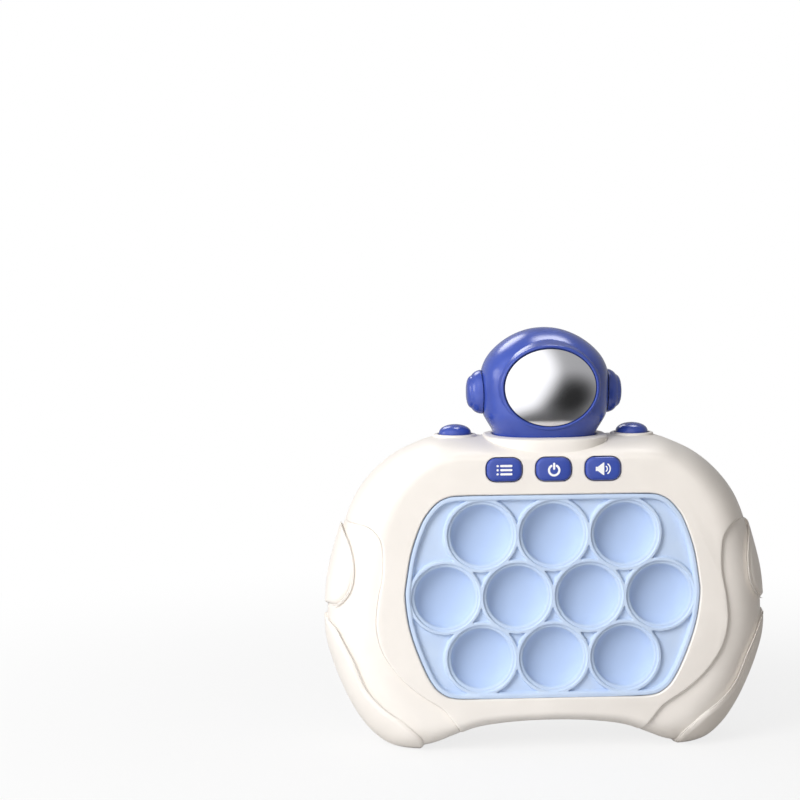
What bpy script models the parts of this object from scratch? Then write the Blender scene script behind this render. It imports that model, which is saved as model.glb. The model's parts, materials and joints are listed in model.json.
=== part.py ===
"""Handheld electronic bubble pop game, upright on its two horns.

The front faces -Y, +X is to the right and +Z is up. The origin lies on the ground
under the middle of the case. All sizes are in metres.
"""
import math

import bmesh
import bpy
from mathutils import Vector

for leftover in list(bpy.data.objects):
    bpy.data.objects.remove(leftover, do_unlink=True)

# Driving sizes shared by the whole toy
GAP = 0.0003
OVERRUN = 0.004
WALL = 0.0022
FACE_Y = -0.024
FRONT_HALF_DEPTH = 0.029
BACK_HALF_DEPTH = 0.020
GRIP_STEP = 0.0016
PAD_RISE = 0.0010

# Bubble panel
BUBBLE_PITCH = 0.028
BUBBLE_LAND = 0.0022
BUBBLE_RIM = 0.0010
BUBBLE_DEPTH = 0.0065
BUBBLE_SKIN = 0.0012
BUBBLE_RIM_DROP = 0.0009
BUBBLE_NUB_RADIUS = 0.0020
ROW_COUNTS = (3, 4, 3)
SHEET_BORDER = 0.00175
SHEET_BORDER_DROP = 0.0004
SHEET_FLOOR_DROP = 0.0017
SHEET_FLOOR = 0.0022
SHEET_FLANGE = 0.0025
SHEET_FLANGE_THICKNESS = 0.0014
SHEET_PLATEAU = 0.0004

# Case outline around the panel
GRIP_WIDTH = 0.0293
TOP_MARGIN = 0.02025
BOTTOM_MARGIN = 0.0125
HORN_DROP = 0.0106
FOOT_CUT = 0.0010

# Neck and shoulders
NECK_RIM = 0.0014
NECK_LEAD = 0.0040
NECK_RISE = 0.00085
WELL_CLEARANCE = 0.0004
WELL_DEPTH = 0.0060
WELL_FLOOR = 0.0022
SHOULDER_X = 0.0356
SHOULDER_BOSS_RADIUS = 0.0087
SHOULDER_DOME_RADIUS = 0.00685
SHOULDER_DOME_HEIGHT = 0.0042
SHOULDER_TRAVEL = 0.0020
SHOULDER_FLANGE = 0.0014

# Helmet key
HELMET_HALF_WIDTH = 0.0254
HELMET_FRONT_DEPTH = 0.0234
HELMET_BACK_DEPTH = 0.0190
HELMET_HEIGHT = 0.0452
HELMET_WALL = 0.0020
HELMET_SINK = 0.0030
HELMET_TRAVEL = 0.0020
VISOR_HALF_WIDTH = 0.0174
VISOR_HALF_HEIGHT = 0.0145
VISOR_RISE = 0.0216
VISOR_RIM = 0.0018
VISOR_RIM_SET = 0.0020
VISOR_RIM_DEPTH = 0.0086
VISOR_CROWN = 0.0036
VISOR_EDGE = 0.0013
VISOR_LEDGE = 0.0020
EAR_RISE = 0.0193
EAR_RADIUS = 0.0085
EAR_REACH = 0.0059
PLUNGER_DISC = 0.0020
PLUNGER_DISC_RISE = 0.0020
PLUNGER_STEM_RADIUS = 0.0060
PLUNGER_FLANGE_RADIUS = 0.0090
PLUNGER_FLANGE = 0.0015

# Control keys
KEY_PITCH = 0.01916
KEY_RISE = 0.00985
KEY_HALF_WIDTH = 0.00685
KEY_HALF_HEIGHT = 0.00455
KEY_CORNER = 0.0036
KEY_PROUD = 0.0010
KEY_TRAVEL = 0.0012
KEY_EAR = 0.0013
KEY_EAR_THICKNESS = 0.0010
KEY_STEM_RADIUS = 0.0022
KEY_BEVEL = 0.0006
KEY_MAT_BASE = 0.0010
KEY_MAT_DOME = 0.0025
KEY_MAT_HALF_HEIGHT = 0.0028

# Boards, lamps, switches and springs
BOARD_THICKNESS = 0.0016
BOARD_EDGE = 0.0040
LAMP_SIZE = 0.0030
LAMP_HEIGHT = 0.0012
LAMP_OFFSET = 0.0055
TOP_BOARD_DEPTH = 0.016
TOP_BOARD_RIM = 0.0055
SWITCH_SIZE = 0.0090
SWITCH_HEIGHT = 0.0040
SWITCH_PIN_RADIUS = 0.0016
SWITCH_PIN = 0.0015
SHOULDER_SPRING_RADIUS = 0.0072
HEAD_SPRING_RADIUS = 0.0110
SPRING_WIRE = 0.0004
SPRING_TURNS = 3

# Battery bay, sounder and fasteners
CELL_RADIUS = 0.00725
CELL_LENGTH = 0.0490
CELL_TIP = 0.0015
CELL_TIP_RADIUS = 0.0027
CELL_SPACE = 0.0006
CELL_COUNT = 3
CONTACT_SPRING_LENGTH = 0.0056
CONTACT_SPRING_RADIUS = 0.0034
CONTACT_PLATE = 0.0005
BAY_WALL = 0.0016
BAY_RISE = 0.0090
DOOR_THICKNESS = 0.0020
DOOR_LEDGE = 0.0022
DOOR_TAB_HALF_WIDTH = 0.0052
DOOR_TAB = 0.0064
DOOR_SCREW_LENGTH = 0.0085
SPEAKER_RADIUS = 0.0120
SPEAKER_DEPTH = 0.0050
SPEAKER_MAGNET = 0.0025
SPEAKER_DROP = 0.0310
GRILLE_SLOT = 0.0016
GRILLE_SLOTS = 5
GRILLE_HALF_LENGTH = 0.0075
SCREW_SHANK_RADIUS = 0.0013
SCREW_HOLE_RADIUS = 0.0016
SCREW_HEAD_RADIUS = 0.0025
SCREW_HEAD = 0.0016
SCREW_REACH = 0.0110
POST_RADIUS = 0.0033
TOWER_RADIUS = 0.0044

# How finely round shapes are divided
OUTLINE_STEPS = 2
EDGE_RINGS = 5
ROOM_RINGS = 4
ROUND = 20
BUBBLE_ROUND = 18
SMALL_ROUND = 10
SPRING_STEPS = 8
WIRE_SIDES = 4
SHARP_ANGLE = math.radians(35)

# Shapes as shares of the sizes that they follow, chosen by eye and hand
EDGE_POWER_SHARE = 2.2
HELMET_POWER_SHARE = 2.6
MAT_TIP_SHARE = 0.7
WINDOW_SHARES = (
    (0.0, 1.0), (0.35, 1.0), (0.62, 1.0), (0.74, 0.965), (0.80, 0.855), (0.90, 0.575), (0.967, 0.285),
    (1.0, 0.0), (0.967, -0.305), (0.90, -0.60), (0.79, -0.87), (0.73, -0.97), (0.61, -1.0), (0.35, -1.0),
    (0.0, -1.0))
UPPER_CASE_SHARES = (
    (0.0, 1.0), (0.25, 1.0), (0.48, 1.0), (0.605, 0.946), (0.708, 0.868), (0.797, 0.755), (0.866, 0.622),
    (0.914, 0.465), (0.953, 0.29), (0.986, 0.10))
LOWER_CASE_SHARES = (
    (1.0, 0.095), (0.998, 0.285), (0.970, 0.444), (0.927, 0.602), (0.877, 0.745), (0.814, 0.872),
    (0.734, 0.963), (0.626, 1.0), (0.545, 0.985), (0.459, 0.938), (0.344, 0.876), (0.18, 0.842), (0.0, 0.832))
UPPER_FACE_SHARES = (
    (0.0, 0.88), (0.24, 0.88), (0.44, 0.872), (0.54, 0.82), (0.615, 0.735), (0.67, 0.625), (0.71, 0.505),
    (0.735, 0.375), (0.748, 0.235), (0.757, 0.08))
LOWER_FACE_SHARES = (
    (0.760, 0.095), (0.752, 0.255), (0.725, 0.40), (0.685, 0.53), (0.64, 0.63), (0.60, 0.71),
    (0.56, 0.765), (0.50, 0.785), (0.445, 0.778), (0.385, 0.758), (0.30, 0.735), (0.16, 0.722), (0.0, 0.718))
PLATE_SIDE_SHARES = (
    (0.925, 0.46), (0.835, 0.462), (0.785, 0.41), (0.763, 0.33), (0.761, 0.16), (0.785, -0.03),
    (0.792, -0.175), (0.774, -0.30), (0.735, -0.405), (0.671, -0.515), (0.593, -0.605), (0.501, -0.69),
    (0.455, -0.765), (0.420, -0.84), (0.395, -0.93))
UPPER_PAD_SHARES = (
    (0.935, 0.425), (0.905, 0.33), (0.891, 0.215), (0.898, 0.09), (0.925, 0.0), (0.962, -0.06), (1.0, -0.08))
LOWER_PAD_SHARES = (
    (1.0, -0.175), (0.968, -0.21), (0.94, -0.278), (0.889, -0.412), (0.841, -0.57), (0.768, -0.682),
    (0.672, -0.777), (0.593, -0.88), (0.575, -0.95), (0.575, -1.0))
HELMET_SHARES = (
    (0.807, 0.0), (0.807, 0.118), (0.865, 0.158), (0.935, 0.212), (0.978, 0.29), (1.0, 0.42), (1.0, 0.575),
    (0.984, 0.673), (0.925, 0.765), (0.82, 0.845), (0.67, 0.905), (0.46, 0.955), (0.20, 0.994))
BUBBLE_SHARES = ((0.0, 1.0), (0.50, 0.92), (0.85, 0.60), (1.0, 0.0))
EAR_SHARES = ((1.0, 0.42), (0.93, 0.56), (0.76, 0.60), (0.74, 0.86), (0.66, 1.0))
DOME_SHARES = ((1.0, 0.0), (0.97, 0.35), (0.84, 0.62), (0.60, 0.76), (0.52, 0.80), (0.46, 0.95), (0.30, 1.0))
VISOR_SHARES = ((1.0, 0.0), (0.86, 0.36), (0.62, 0.70), (0.32, 0.93), (0.10, 1.0))

# Places worked out from the driving sizes
PART_Y = FACE_Y + FRONT_HALF_DEPTH
BACK_Y = PART_Y + BACK_HALF_DEPTH
ROW_PITCH = BUBBLE_PITCH * math.sqrt(0.75)
WINDOW_HALF_WIDTH = 2 * BUBBLE_PITCH + SHEET_BORDER
WINDOW_HALF_HEIGHT = ROW_PITCH + BUBBLE_PITCH / 2 + SHEET_BORDER
CASE_HALF_WIDTH = WINDOW_HALF_WIDTH + GRIP_WIDTH
UPPER_HEIGHT = WINDOW_HALF_HEIGHT + TOP_MARGIN
LOWER_HEIGHT = WINDOW_HALF_HEIGHT + BOTTOM_MARGIN + HORN_DROP
PANEL_Z = LOWER_HEIGHT - FOOT_CUT
TOP_Z = PANEL_Z + UPPER_HEIGHT
INNER_FACE_Y = FACE_Y + WALL
INNER_BACK_Y = BACK_Y - WALL
PLATFORM_Z = TOP_Z + NECK_RISE
WELL_FLOOR_Z = PLATFORM_Z - WELL_DEPTH
GUIDE_Z = WELL_FLOOR_Z - WELL_FLOOR
BASE_SHARE = HELMET_SHARES[0][0]
BUBBLE_RADIUS = BUBBLE_PITCH / 2 - BUBBLE_LAND
BUBBLE_OUTER = BUBBLE_RADIUS + BUBBLE_RIM
BUBBLE_RIM_Y = FACE_Y + BUBBLE_RIM_DROP
SHEET_BACK_Y = FACE_Y + SHEET_FLOOR_DROP + SHEET_FLOOR
BOARD_Y = BUBBLE_RIM_Y + BUBBLE_DEPTH + BUBBLE_SKIN + LAMP_HEIGHT + 2 * GAP
KEY_Z = PANEL_Z + WINDOW_HALF_HEIGHT + KEY_RISE
BUBBLE_PLACES = []
for row, count in enumerate(ROW_COUNTS):
    for place in range(count):
        BUBBLE_PLACES.append(((place - (count - 1) / 2) * BUBBLE_PITCH, PANEL_Z + (1 - row) * ROW_PITCH))


def finish(name, colour, roughness, metallic=0.0):
    material = bpy.data.materials.new(name)
    material.use_nodes = True
    shader = material.node_tree.nodes["Principled BSDF"]
    shader.inputs["Base Color"].default_value = (*colour, 1.0)
    shader.inputs["Roughness"].default_value = roughness
    shader.inputs["Metallic"].default_value = metallic
    material.diffuse_color = (*colour, 1.0)
    return material


CREAM = finish("cream_plastic", (0.90, 0.86, 0.80), 0.35)
BLUE = finish("blue_plastic", (0.07, 0.11, 0.50), 0.25)
SILICONE = finish("light_blue_silicone", (0.48, 0.63, 0.88), 0.5)
SILVER = finish("silver_plating", (0.80, 0.80, 0.82), 0.1, 1.0)
STEEL = finish("steel", (0.62, 0.63, 0.65), 0.3, 1.0)
BOARD = finish("circuit_board", (0.03, 0.22, 0.10), 0.45)
BLACK = finish("black_plastic", (0.03, 0.03, 0.03), 0.4)
LAMP = finish("lamp", (0.9, 0.9, 0.75), 0.3)
WHITE = finish("white_plastic", (0.85, 0.85, 0.85), 0.4)
CELL = finish("cell_wrap", (0.15, 0.16, 0.18), 0.35)


def solid(name, points, faces, material=None, smooth=True):
    """Make one closed body. A body without a material is a guide that cuts or joins others."""
    mesh = bpy.data.meshes.new(name)
    mesh.from_pydata(points, [], faces)
    shape = bmesh.new()
    shape.from_mesh(mesh)
    bmesh.ops.recalc_face_normals(shape, faces=shape.faces)
    shape.to_mesh(mesh)
    shape.free()
    if smooth:
        mesh.shade_smooth()
        mesh.set_sharp_from_angle(angle=SHARP_ANGLE)
    body = bpy.data.objects.new(name, mesh)
    bpy.context.scene.collection.objects.link(body)
    if material:
        mesh.materials.append(material)
    else:
        body.hide_render = True
        body.display_type = "WIRE"
    return body


def loft(name, rings, material=None, closed=False):
    """Skin rings of points. A ring of one point is a pole, and a closed loft is a ring-shaped body."""
    points = [point for ring in rings for point in ring]
    starts = [sum(len(ring) for ring in rings[:index]) for index in range(len(rings))]
    pairs = [(index, index + 1) for index in range(len(rings) - 1)]
    faces = []
    if closed:
        pairs.append((len(rings) - 1, 0))
    for first, second in pairs:
        sizes = {ring: len(rings[ring]) for ring in (first, second)}
        count = max(sizes.values())
        for index in range(count):
            following = (index + 1) % count
            corners = [starts[ring] + place % sizes[ring] for ring, place in (
                (first, index), (first, following), (second, following), (second, index))]
            faces.append(list(dict.fromkeys(corners)))
    if not closed:
        for end in (0, len(rings) - 1):
            if len(rings[end]) > 1:
                faces.append([starts[end] + index for index in range(len(rings[end]))])
    return solid(name, points, faces, material)


def turned(name, profile, centre, axis, material=None, count=SMALL_ROUND, closed=False):
    """Turn a profile of (radius, height) round an axis through the centre."""
    rings = []
    for radius, height in profile:
        ring = []
        for index in range(count if radius else 1):
            angle = math.tau * index / count
            across, up = radius * math.cos(angle), radius * math.sin(angle)
            offset = {"X": (height, across, up), "Y": (across, height, up), "Z": (across, up, height)}[axis]
            ring.append(Vector(centre) + Vector(offset))
        rings.append(ring)
    return loft(name, rings, material, closed)


def rod(name, centre, axis, radius, low, high, material=None, count=SMALL_ROUND):
    return turned(name, [(radius, low), (radius, high)], centre, axis, material, count)


def prism(name, outline, low_y, high_y, material=None):
    """Extrude an outline of (x, z) points along Y."""
    return loft(name, [[(x, y, z) for x, z in outline] for y in (low_y, high_y)], material)


def block(name, low, high, material=None):
    outline = [(low[0], low[2]), (high[0], low[2]), (high[0], high[2]), (low[0], high[2])]
    return prism(name, outline, low[1], high[1], material)


def merged(name, bodies):
    """Put guides that don't touch each other into one guide."""
    points = []
    faces = []
    for body in bodies:
        start = len(points)
        points += [vertex.co.copy() for vertex in body.data.vertices]
        faces += [[start + corner for corner in face.vertices] for face in body.data.polygons]
        bpy.data.objects.remove(body, do_unlink=True)
    return solid(name, points, faces)


def combine(body, operation, tools):
    for tool in tools:
        modifier = body.modifiers.new(f"{operation.lower()}_{tool.name}", "BOOLEAN")
        modifier.operation = operation
        modifier.solver = "EXACT"
        modifier.object = tool
    return body


def cut(body, *tools):
    return combine(body, "DIFFERENCE", tools)


def fuse(body, *tools):
    return combine(body, "UNION", tools)


def keep_within(body, *tools):
    return combine(body, "INTERSECT", tools)


def put_origin(body, place):
    """Move a body's origin without moving its surface."""
    place = Vector(place)
    for vertex in body.data.vertices:
        vertex.co -= place
    body.location = place


def curve_through(points, steps, closed=True):
    """Sample a smooth curve that passes through the points."""
    points = [Vector(point) for point in points]
    spans = len(points) if closed else len(points) - 1
    samples = []
    for span in range(spans):
        if closed:
            before, start, end, after = (points[(span + shift) % len(points)] for shift in (-1, 0, 1, 2))
        else:
            start, end = points[span], points[span + 1]
            before = points[span - 1] if span else start
            after = points[span + 2] if span + 2 < len(points) else end
        for step in range(steps):
            t = step / steps
            samples.append(0.5 * (2 * start + (end - before) * t
                                  + (2 * before - 5 * start + 4 * end - after) * t ** 2
                                  + (3 * start - before - 3 * end + after) * t ** 3))
    if not closed:
        samples.append(points[-1])
    return samples


def whole(half):
    """Mirror a right half outline, which runs from the top centre to the bottom centre."""
    return half + [Vector((-point[0], point[1])) for point in reversed(half[1:-1])]


def scaled(shares, width, upper, lower):
    return [Vector((x * width, PANEL_Z + z * (upper if z > 0 else lower))) for x, z in shares]


def grown(outline, distance):
    """Offset a clockwise outline outwards, or inwards by a negative distance."""
    moved = []
    for index, point in enumerate(outline):
        along = (outline[(index + 1) % len(outline)] - outline[index - 1]).normalized()
        moved.append(point + Vector((-along.y, along.x)) * distance)
    return moved


def rounded_rectangle(half_width, half_height, corner, steps=4):
    """Outline round the origin, clockwise from the upper right corner."""
    outline = []
    for sign_x, sign_z, start in ((1, 1, 90), (1, -1, 0), (-1, -1, -90), (-1, 1, -180)):
        centre = Vector((sign_x * (half_width - corner), sign_z * (half_height - corner)))
        for step in range(steps + 1):
            angle = math.radians(start - 90 * step / steps)
            outline.append(centre + corner * Vector((math.cos(angle), math.sin(angle))))
    return outline


def ellipse(half_width, half_height, count=ROUND):
    angles = [math.tau * index / count for index in range(count)]
    return [Vector((half_width * math.sin(angle), half_height * math.cos(angle))) for angle in angles]


def egg(width_share, growth, height, count=ROUND):
    """Level outline of the helmet at a share of its width, deeper and squarer in front than behind."""
    ring = []
    for index in range(count):
        angle = math.tau * index / count
        across, along, depth = math.sin(angle), math.cos(angle), HELMET_BACK_DEPTH
        if along > 0:
            across = math.copysign(abs(across) ** (2 / HELMET_POWER_SHARE), across)
            along = along ** (2 / HELMET_POWER_SHARE)
            depth = HELMET_FRONT_DEPTH
        ring.append((across * (width_share * HELMET_HALF_WIDTH + growth),
                     PART_Y - along * (width_share * depth + growth), height))
    return ring


def moved_outline(outline, x, z):
    return [point + Vector((x, z)) for point in outline]


def coil(name, centre, axis, radius, length):
    """A spring of steel wire along an axis, as one unbroken tube."""
    steps = SPRING_TURNS * SPRING_STEPS
    travel = length - 2 * SPRING_WIRE
    rings = []
    for index in range(steps + 1):
        angle = math.tau * SPRING_TURNS * index / steps
        height = SPRING_WIRE + travel * index / steps
        ring = []
        for corner in range(WIRE_SIDES):
            turn = math.tau * corner / WIRE_SIDES
            reach = radius + SPRING_WIRE * math.cos(turn)
            across, up = reach * math.cos(angle), reach * math.sin(angle)
            along = height + SPRING_WIRE * math.sin(turn)
            offset = {"X": (along, across, up), "Z": (across, up, along)}[axis]
            ring.append(Vector(centre) + Vector(offset))
        rings.append(ring)
    return loft(name, rings, STEEL)


# Outlines of the case, the panel window and the front plate
def whole_outline(upper_shares, lower_shares):
    upper = scaled(upper_shares, CASE_HALF_WIDTH, UPPER_HEIGHT, UPPER_HEIGHT)
    lower = scaled([(x, -z) for x, z in lower_shares], CASE_HALF_WIDTH, UPPER_HEIGHT, LOWER_HEIGHT)
    return curve_through(whole(upper + lower), OUTLINE_STEPS)


CASE_OUTLINE = whole_outline(UPPER_CASE_SHARES, LOWER_CASE_SHARES)
FACE_OUTLINE = whole_outline(UPPER_FACE_SHARES, LOWER_FACE_SHARES)
WINDOW = curve_through(whole(
    scaled(WINDOW_SHARES, WINDOW_HALF_WIDTH, WINDOW_HALF_HEIGHT, WINDOW_HALF_HEIGHT)), OUTLINE_STEPS)
FAR = 2 * CASE_HALF_WIDTH


def side_curve(shares):
    points = scaled(shares, CASE_HALF_WIDTH, UPPER_HEIGHT, LOWER_HEIGHT)
    return curve_through(points, OUTLINE_STEPS, closed=False)


def edge_rings(growth, depth, direction, count=EDGE_RINGS, stride=1):
    """Rings from the parting line to a flat face, along a rounded edge."""
    rings = []
    rim = grown(CASE_OUTLINE, growth)
    for index in range(count):
        angle = math.pi / 2 * index / (count - 1)
        out = max(math.cos(angle), 0.0) ** (2 / EDGE_POWER_SHARE)
        along = math.sin(angle) ** (2 / EDGE_POWER_SHARE)
        ring = []
        for edge, flat in zip(rim[::stride], FACE_OUTLINE[::stride]):
            place = flat + (edge - flat) * out
            ring.append((place.x, PART_Y + direction * depth * along, place.y))
        rings.append(ring)
    return rings


def pillow(name, growth, front_depth, back_depth, material=None, count=EDGE_RINGS, stride=1):
    front = edge_rings(growth, front_depth, -1, count, stride)
    back = edge_rings(growth, back_depth, 1, count, stride)
    return loft(name, front[::-1] + back[1:], material)


def front_pillow(name, growth, depth, overrun, material=None, count=EDGE_RINGS, stride=1):
    rings = edge_rings(growth, depth, -1, count, stride)
    skirt = [(x, y + overrun, z) for x, y, z in rings[0]]
    return loft(name, [skirt] + rings, material)


def plate_prism(name, growth, back_y):
    side = side_curve(PLATE_SIDE_SHARES)
    start, end = side[0], side[-1]
    half = [Vector((0, FAR)), Vector((FAR, FAR)), Vector((FAR, start.y)), *side]
    half += [Vector((end.x, -FAR)), Vector((0, -FAR))]
    return prism(name, grown(whole(half), growth), FACE_Y - FAR, back_y)


def neck_guides(label):
    """Outer forms of the neck and shoulders, their inner guides, and the holes through them."""
    lead = [(x, y - NECK_LEAD if y < PART_Y else y, z) for x, y, z in
            egg(BASE_SHARE, WELL_CLEARANCE + WALL + NECK_RIM, PLATFORM_Z, 2 * ROUND)]
    root = [(x, y, z - TOP_MARGIN / 2) for x, y, z in lead]
    outer = [loft(f"{label}_neck", [root, lead])]
    low, high = GUIDE_Z - OVERRUN, PLATFORM_Z + OVERRUN
    guides = [loft(f"{label}_well_guide", [
        egg(BASE_SHARE, WELL_CLEARANCE + WALL, height, 2 * ROUND) for height in (GUIDE_Z, PLATFORM_Z - GAP)])]
    holes = [loft(f"{label}_well", [
        egg(BASE_SHARE, WELL_CLEARANCE, height, 2 * ROUND) for height in (WELL_FLOOR_Z, high)])]
    holes.append(rod(f"{label}_stem_hole", (0, PART_Y, 0), "Z", PLUNGER_STEM_RADIUS + GAP,
                     low, high, count=ROUND))
    for side in (-1, 1):
        centre = (side * SHOULDER_X, PART_Y, 0)
        outer.append(rod(f"{label}_shoulder_{side:+d}", centre, "Z", SHOULDER_BOSS_RADIUS,
                         TOP_Z - SHOULDER_BOSS_RADIUS, PLATFORM_Z, count=ROUND))
        guides.append(rod(f"{label}_shoulder_guide_{side:+d}", centre, "Z", SHOULDER_BOSS_RADIUS - GAP,
                          GUIDE_Z, PLATFORM_Z - GAP, count=ROUND))
        holes.append(rod(f"{label}_shoulder_hole_{side:+d}", centre, "Z", SHOULDER_DOME_RADIUS + GAP,
                         low, high, count=ROUND))
    return outer, guides, holes


def rods_at(name, places, radius, low_y, high_y, count=SMALL_ROUND):
    """Rods along Y at several (x, z) places, as one guide."""
    return merged(name, [rod("rod", (x, 0, z), "Y", radius, low_y, high_y, count=count) for x, z in places])


# Places of the fasteners as shares of the case
CASE_SCREW_SHARES = ((0.597, 0.705), (0.345, -0.745))
BOARD_SCREW_SHARES = ((0.46, 0.785),)


def screw_places(shares):
    places = scaled(shares, CASE_HALF_WIDTH, UPPER_HEIGHT, LOWER_HEIGHT)
    return [(side * place.x, place.y) for place in places for side in (-1, 1)]


CASE_SCREWS = screw_places(CASE_SCREW_SHARES)
BOARD_SCREWS = screw_places(BOARD_SCREW_SHARES)
SCREW_SEAT_Y = PART_Y + WALL + OVERRUN

# Front shell
front_outer, front_guides, front_holes = neck_guides("front")
front_room = front_pillow("front_room", -WALL, FRONT_HALF_DEPTH - WALL, 2 * OVERRUN, None, ROOM_RINGS, 2)
case_posts = rods_at("case_posts", CASE_SCREWS, POST_RADIUS, FACE_Y, PART_Y)
board_posts = rods_at("board_posts", BOARD_SCREWS, POST_RADIUS - 2 * GAP, FACE_Y, BOARD_Y - GAP)
cut(front_room, *front_guides, case_posts, board_posts)
case_post_holes = rods_at("case_post_holes", CASE_SCREWS, SCREW_HOLE_RADIUS,
                          PART_Y - SCREW_REACH, PART_Y + OVERRUN)
board_post_holes = rods_at("board_post_holes", BOARD_SCREWS, SCREW_HOLE_RADIUS,
                           BOARD_Y - SCREW_REACH / 2, BOARD_Y + OVERRUN)
key_hole = rounded_rectangle(KEY_HALF_WIDTH + GAP, KEY_HALF_HEIGHT + GAP, KEY_CORNER + GAP)
key_holes = merged("key_holes", [
    prism("hole", moved_outline(key_hole, place * KEY_PITCH, KEY_Z), FACE_Y - OVERRUN,
          INNER_FACE_Y + KEY_EAR_THICKNESS + KEY_TRAVEL + 2 * GAP) for place in (-1, 0, 1)])
window_hole = prism("window_hole", WINDOW, FACE_Y - OVERRUN, INNER_FACE_Y + OVERRUN)
front_shell = front_pillow("front_shell", 0.0, FRONT_HALF_DEPTH, OVERRUN, CREAM)
fuse(front_shell, *front_outer)
cut(front_shell, front_room, *front_holes, window_hole, key_holes, case_post_holes, board_post_holes)
keep_within(front_shell, plate_prism("front_plate", 0.0, PART_Y))

# Battery bay sizes, which the back shell, the cells and the door share
BAY_HALF_LENGTH = (CELL_LENGTH + CELL_TIP + CONTACT_SPRING_LENGTH + CONTACT_PLATE + 4 * GAP) / 2
BAY_HALF_HEIGHT = CELL_COUNT * (CELL_RADIUS + CELL_SPACE / 2)
BAY_Z = PANEL_Z + BAY_RISE
DOOR_Y = BACK_Y - DOOR_THICKNESS
BAY_FLOOR_Y = DOOR_Y - 2 * CELL_RADIUS - 2 * CELL_SPACE
TAB_Z = BAY_Z + BAY_HALF_HEIGHT + DOOR_LEDGE + DOOR_TAB / 2
TAB_BOSS = DOOR_THICKNESS / 2
TAB_RECESS_RADIUS = DOOR_TAB_HALF_WIDTH - WALL / 2
SPEAKER_Z = PANEL_Z - SPEAKER_DROP


def door_outline(growth):
    width = BAY_HALF_LENGTH + DOOR_LEDGE - GAP + growth
    top = BAY_Z + BAY_HALF_HEIGHT + DOOR_LEDGE - GAP + growth
    low = BAY_Z - BAY_HALF_HEIGHT - DOOR_LEDGE + GAP - growth
    tab = DOOR_TAB_HALF_WIDTH + growth
    return [Vector(point) for point in (
        (-tab, top + DOOR_TAB), (tab, top + DOOR_TAB), (tab, top), (width, top), (width, low),
        (-width, low), (-width, top), (-tab, top))]


def bay_block(name, growth, back_y):
    return block(name, (-BAY_HALF_LENGTH - growth, BAY_FLOOR_Y - growth, BAY_Z - BAY_HALF_HEIGHT - growth),
                 (BAY_HALF_LENGTH + growth, back_y, BAY_Z + BAY_HALF_HEIGHT + growth))


# Switch stack under the neck, from the top down
STEM_END_Z = GUIDE_Z - GAP - PLUNGER_FLANGE - 2 * GAP
SWITCH_TOP_Z = STEM_END_Z - HELMET_TRAVEL - GAP - SWITCH_PIN
SHOULDER_STEM_END_Z = SWITCH_TOP_Z + SWITCH_PIN + GAP + SHOULDER_TRAVEL
TOP_BOARD_Z = SWITCH_TOP_Z - SWITCH_HEIGHT - GAP
TOP_BOARD_HALF_LENGTH = SHOULDER_X + SHOULDER_SPRING_RADIUS + SPRING_WIRE
RIB_X = TOP_BOARD_HALF_LENGTH / 2
RIB_TOP_Z = TOP_BOARD_Z - BOARD_THICKNESS - GAP
RIB_FRONT_Y = PART_Y + TOP_BOARD_RIM - BAY_WALL

# Back shell with the side grips that wrap round to the front
back_outer, back_guides, back_holes = neck_guides("back")
back_room = pillow("back_room", -WALL, FRONT_HALF_DEPTH - GRIP_STEP - WALL, BACK_HALF_DEPTH - WALL,
                   None, ROOM_RINGS, 2)
towers = rods_at("towers", CASE_SCREWS, TOWER_RADIUS, PART_Y + GAP, BACK_Y)
bay_deep = bay_block("bay_deep", BAY_WALL, BACK_Y)
bay_rim = prism("bay_rim", grown(door_outline(GAP), BAY_WALL), DOOR_Y - TAB_BOSS - BAY_WALL, BACK_Y)
tab_boss = rod("tab_boss", (0, 0, TAB_Z), "Y", DOOR_TAB_HALF_WIDTH, DOOR_Y - DOOR_SCREW_LENGTH, BACK_Y,
               count=ROUND)
ring_y = INNER_BACK_Y - SPEAKER_DEPTH / 2
ring_inner, ring_outer = SPEAKER_RADIUS + GAP, SPEAKER_RADIUS + BAY_WALL
speaker_ring = turned("speaker_ring", [
    (ring_inner, ring_y), (ring_outer, ring_y), (ring_outer, BACK_Y), (ring_inner, BACK_Y)],
    (0, 0, SPEAKER_Z), "Y", count=ROUND, closed=True)
ribs = merged("ribs", [
    block("rib", (side * RIB_X - BAY_WALL, RIB_FRONT_Y, RIB_TOP_Z - OVERRUN),
          (side * RIB_X + BAY_WALL, BACK_Y, RIB_TOP_Z)) for side in (-1, 1)])
cut(back_room, *back_guides, towers, bay_deep, bay_rim, tab_boss, speaker_ring, ribs)
tab_recess = turned("tab_recess", [
    (SCREW_HOLE_RADIUS, DOOR_Y - DOOR_SCREW_LENGTH + WALL), (SCREW_HOLE_RADIUS, DOOR_Y - TAB_BOSS - GAP),
    (TAB_RECESS_RADIUS, DOOR_Y - TAB_BOSS - GAP), (TAB_RECESS_RADIUS, BACK_Y)], (0, 0, TAB_Z), "Y")
tower_holes = merged("tower_holes", [turned("hole", [
    (SCREW_HOLE_RADIUS, PART_Y - OVERRUN), (SCREW_HOLE_RADIUS, SCREW_SEAT_Y),
    (SCREW_HEAD_RADIUS + GAP, SCREW_SEAT_Y), (SCREW_HEAD_RADIUS + GAP, BACK_Y + OVERRUN)],
    (x, 0, z), "Y") for x, z in CASE_SCREWS])
slot_heights = [SPEAKER_Z + (2 * index - GRILLE_SLOTS + 1) * GRILLE_SLOT for index in range(GRILLE_SLOTS)]
grille = merged("grille", [
    block("slot", (-GRILLE_HALF_LENGTH, INNER_BACK_Y - OVERRUN, height - GRILLE_SLOT / 2),
          (GRILLE_HALF_LENGTH, BACK_Y + OVERRUN, height + GRILLE_SLOT / 2)) for height in slot_heights])
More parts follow.
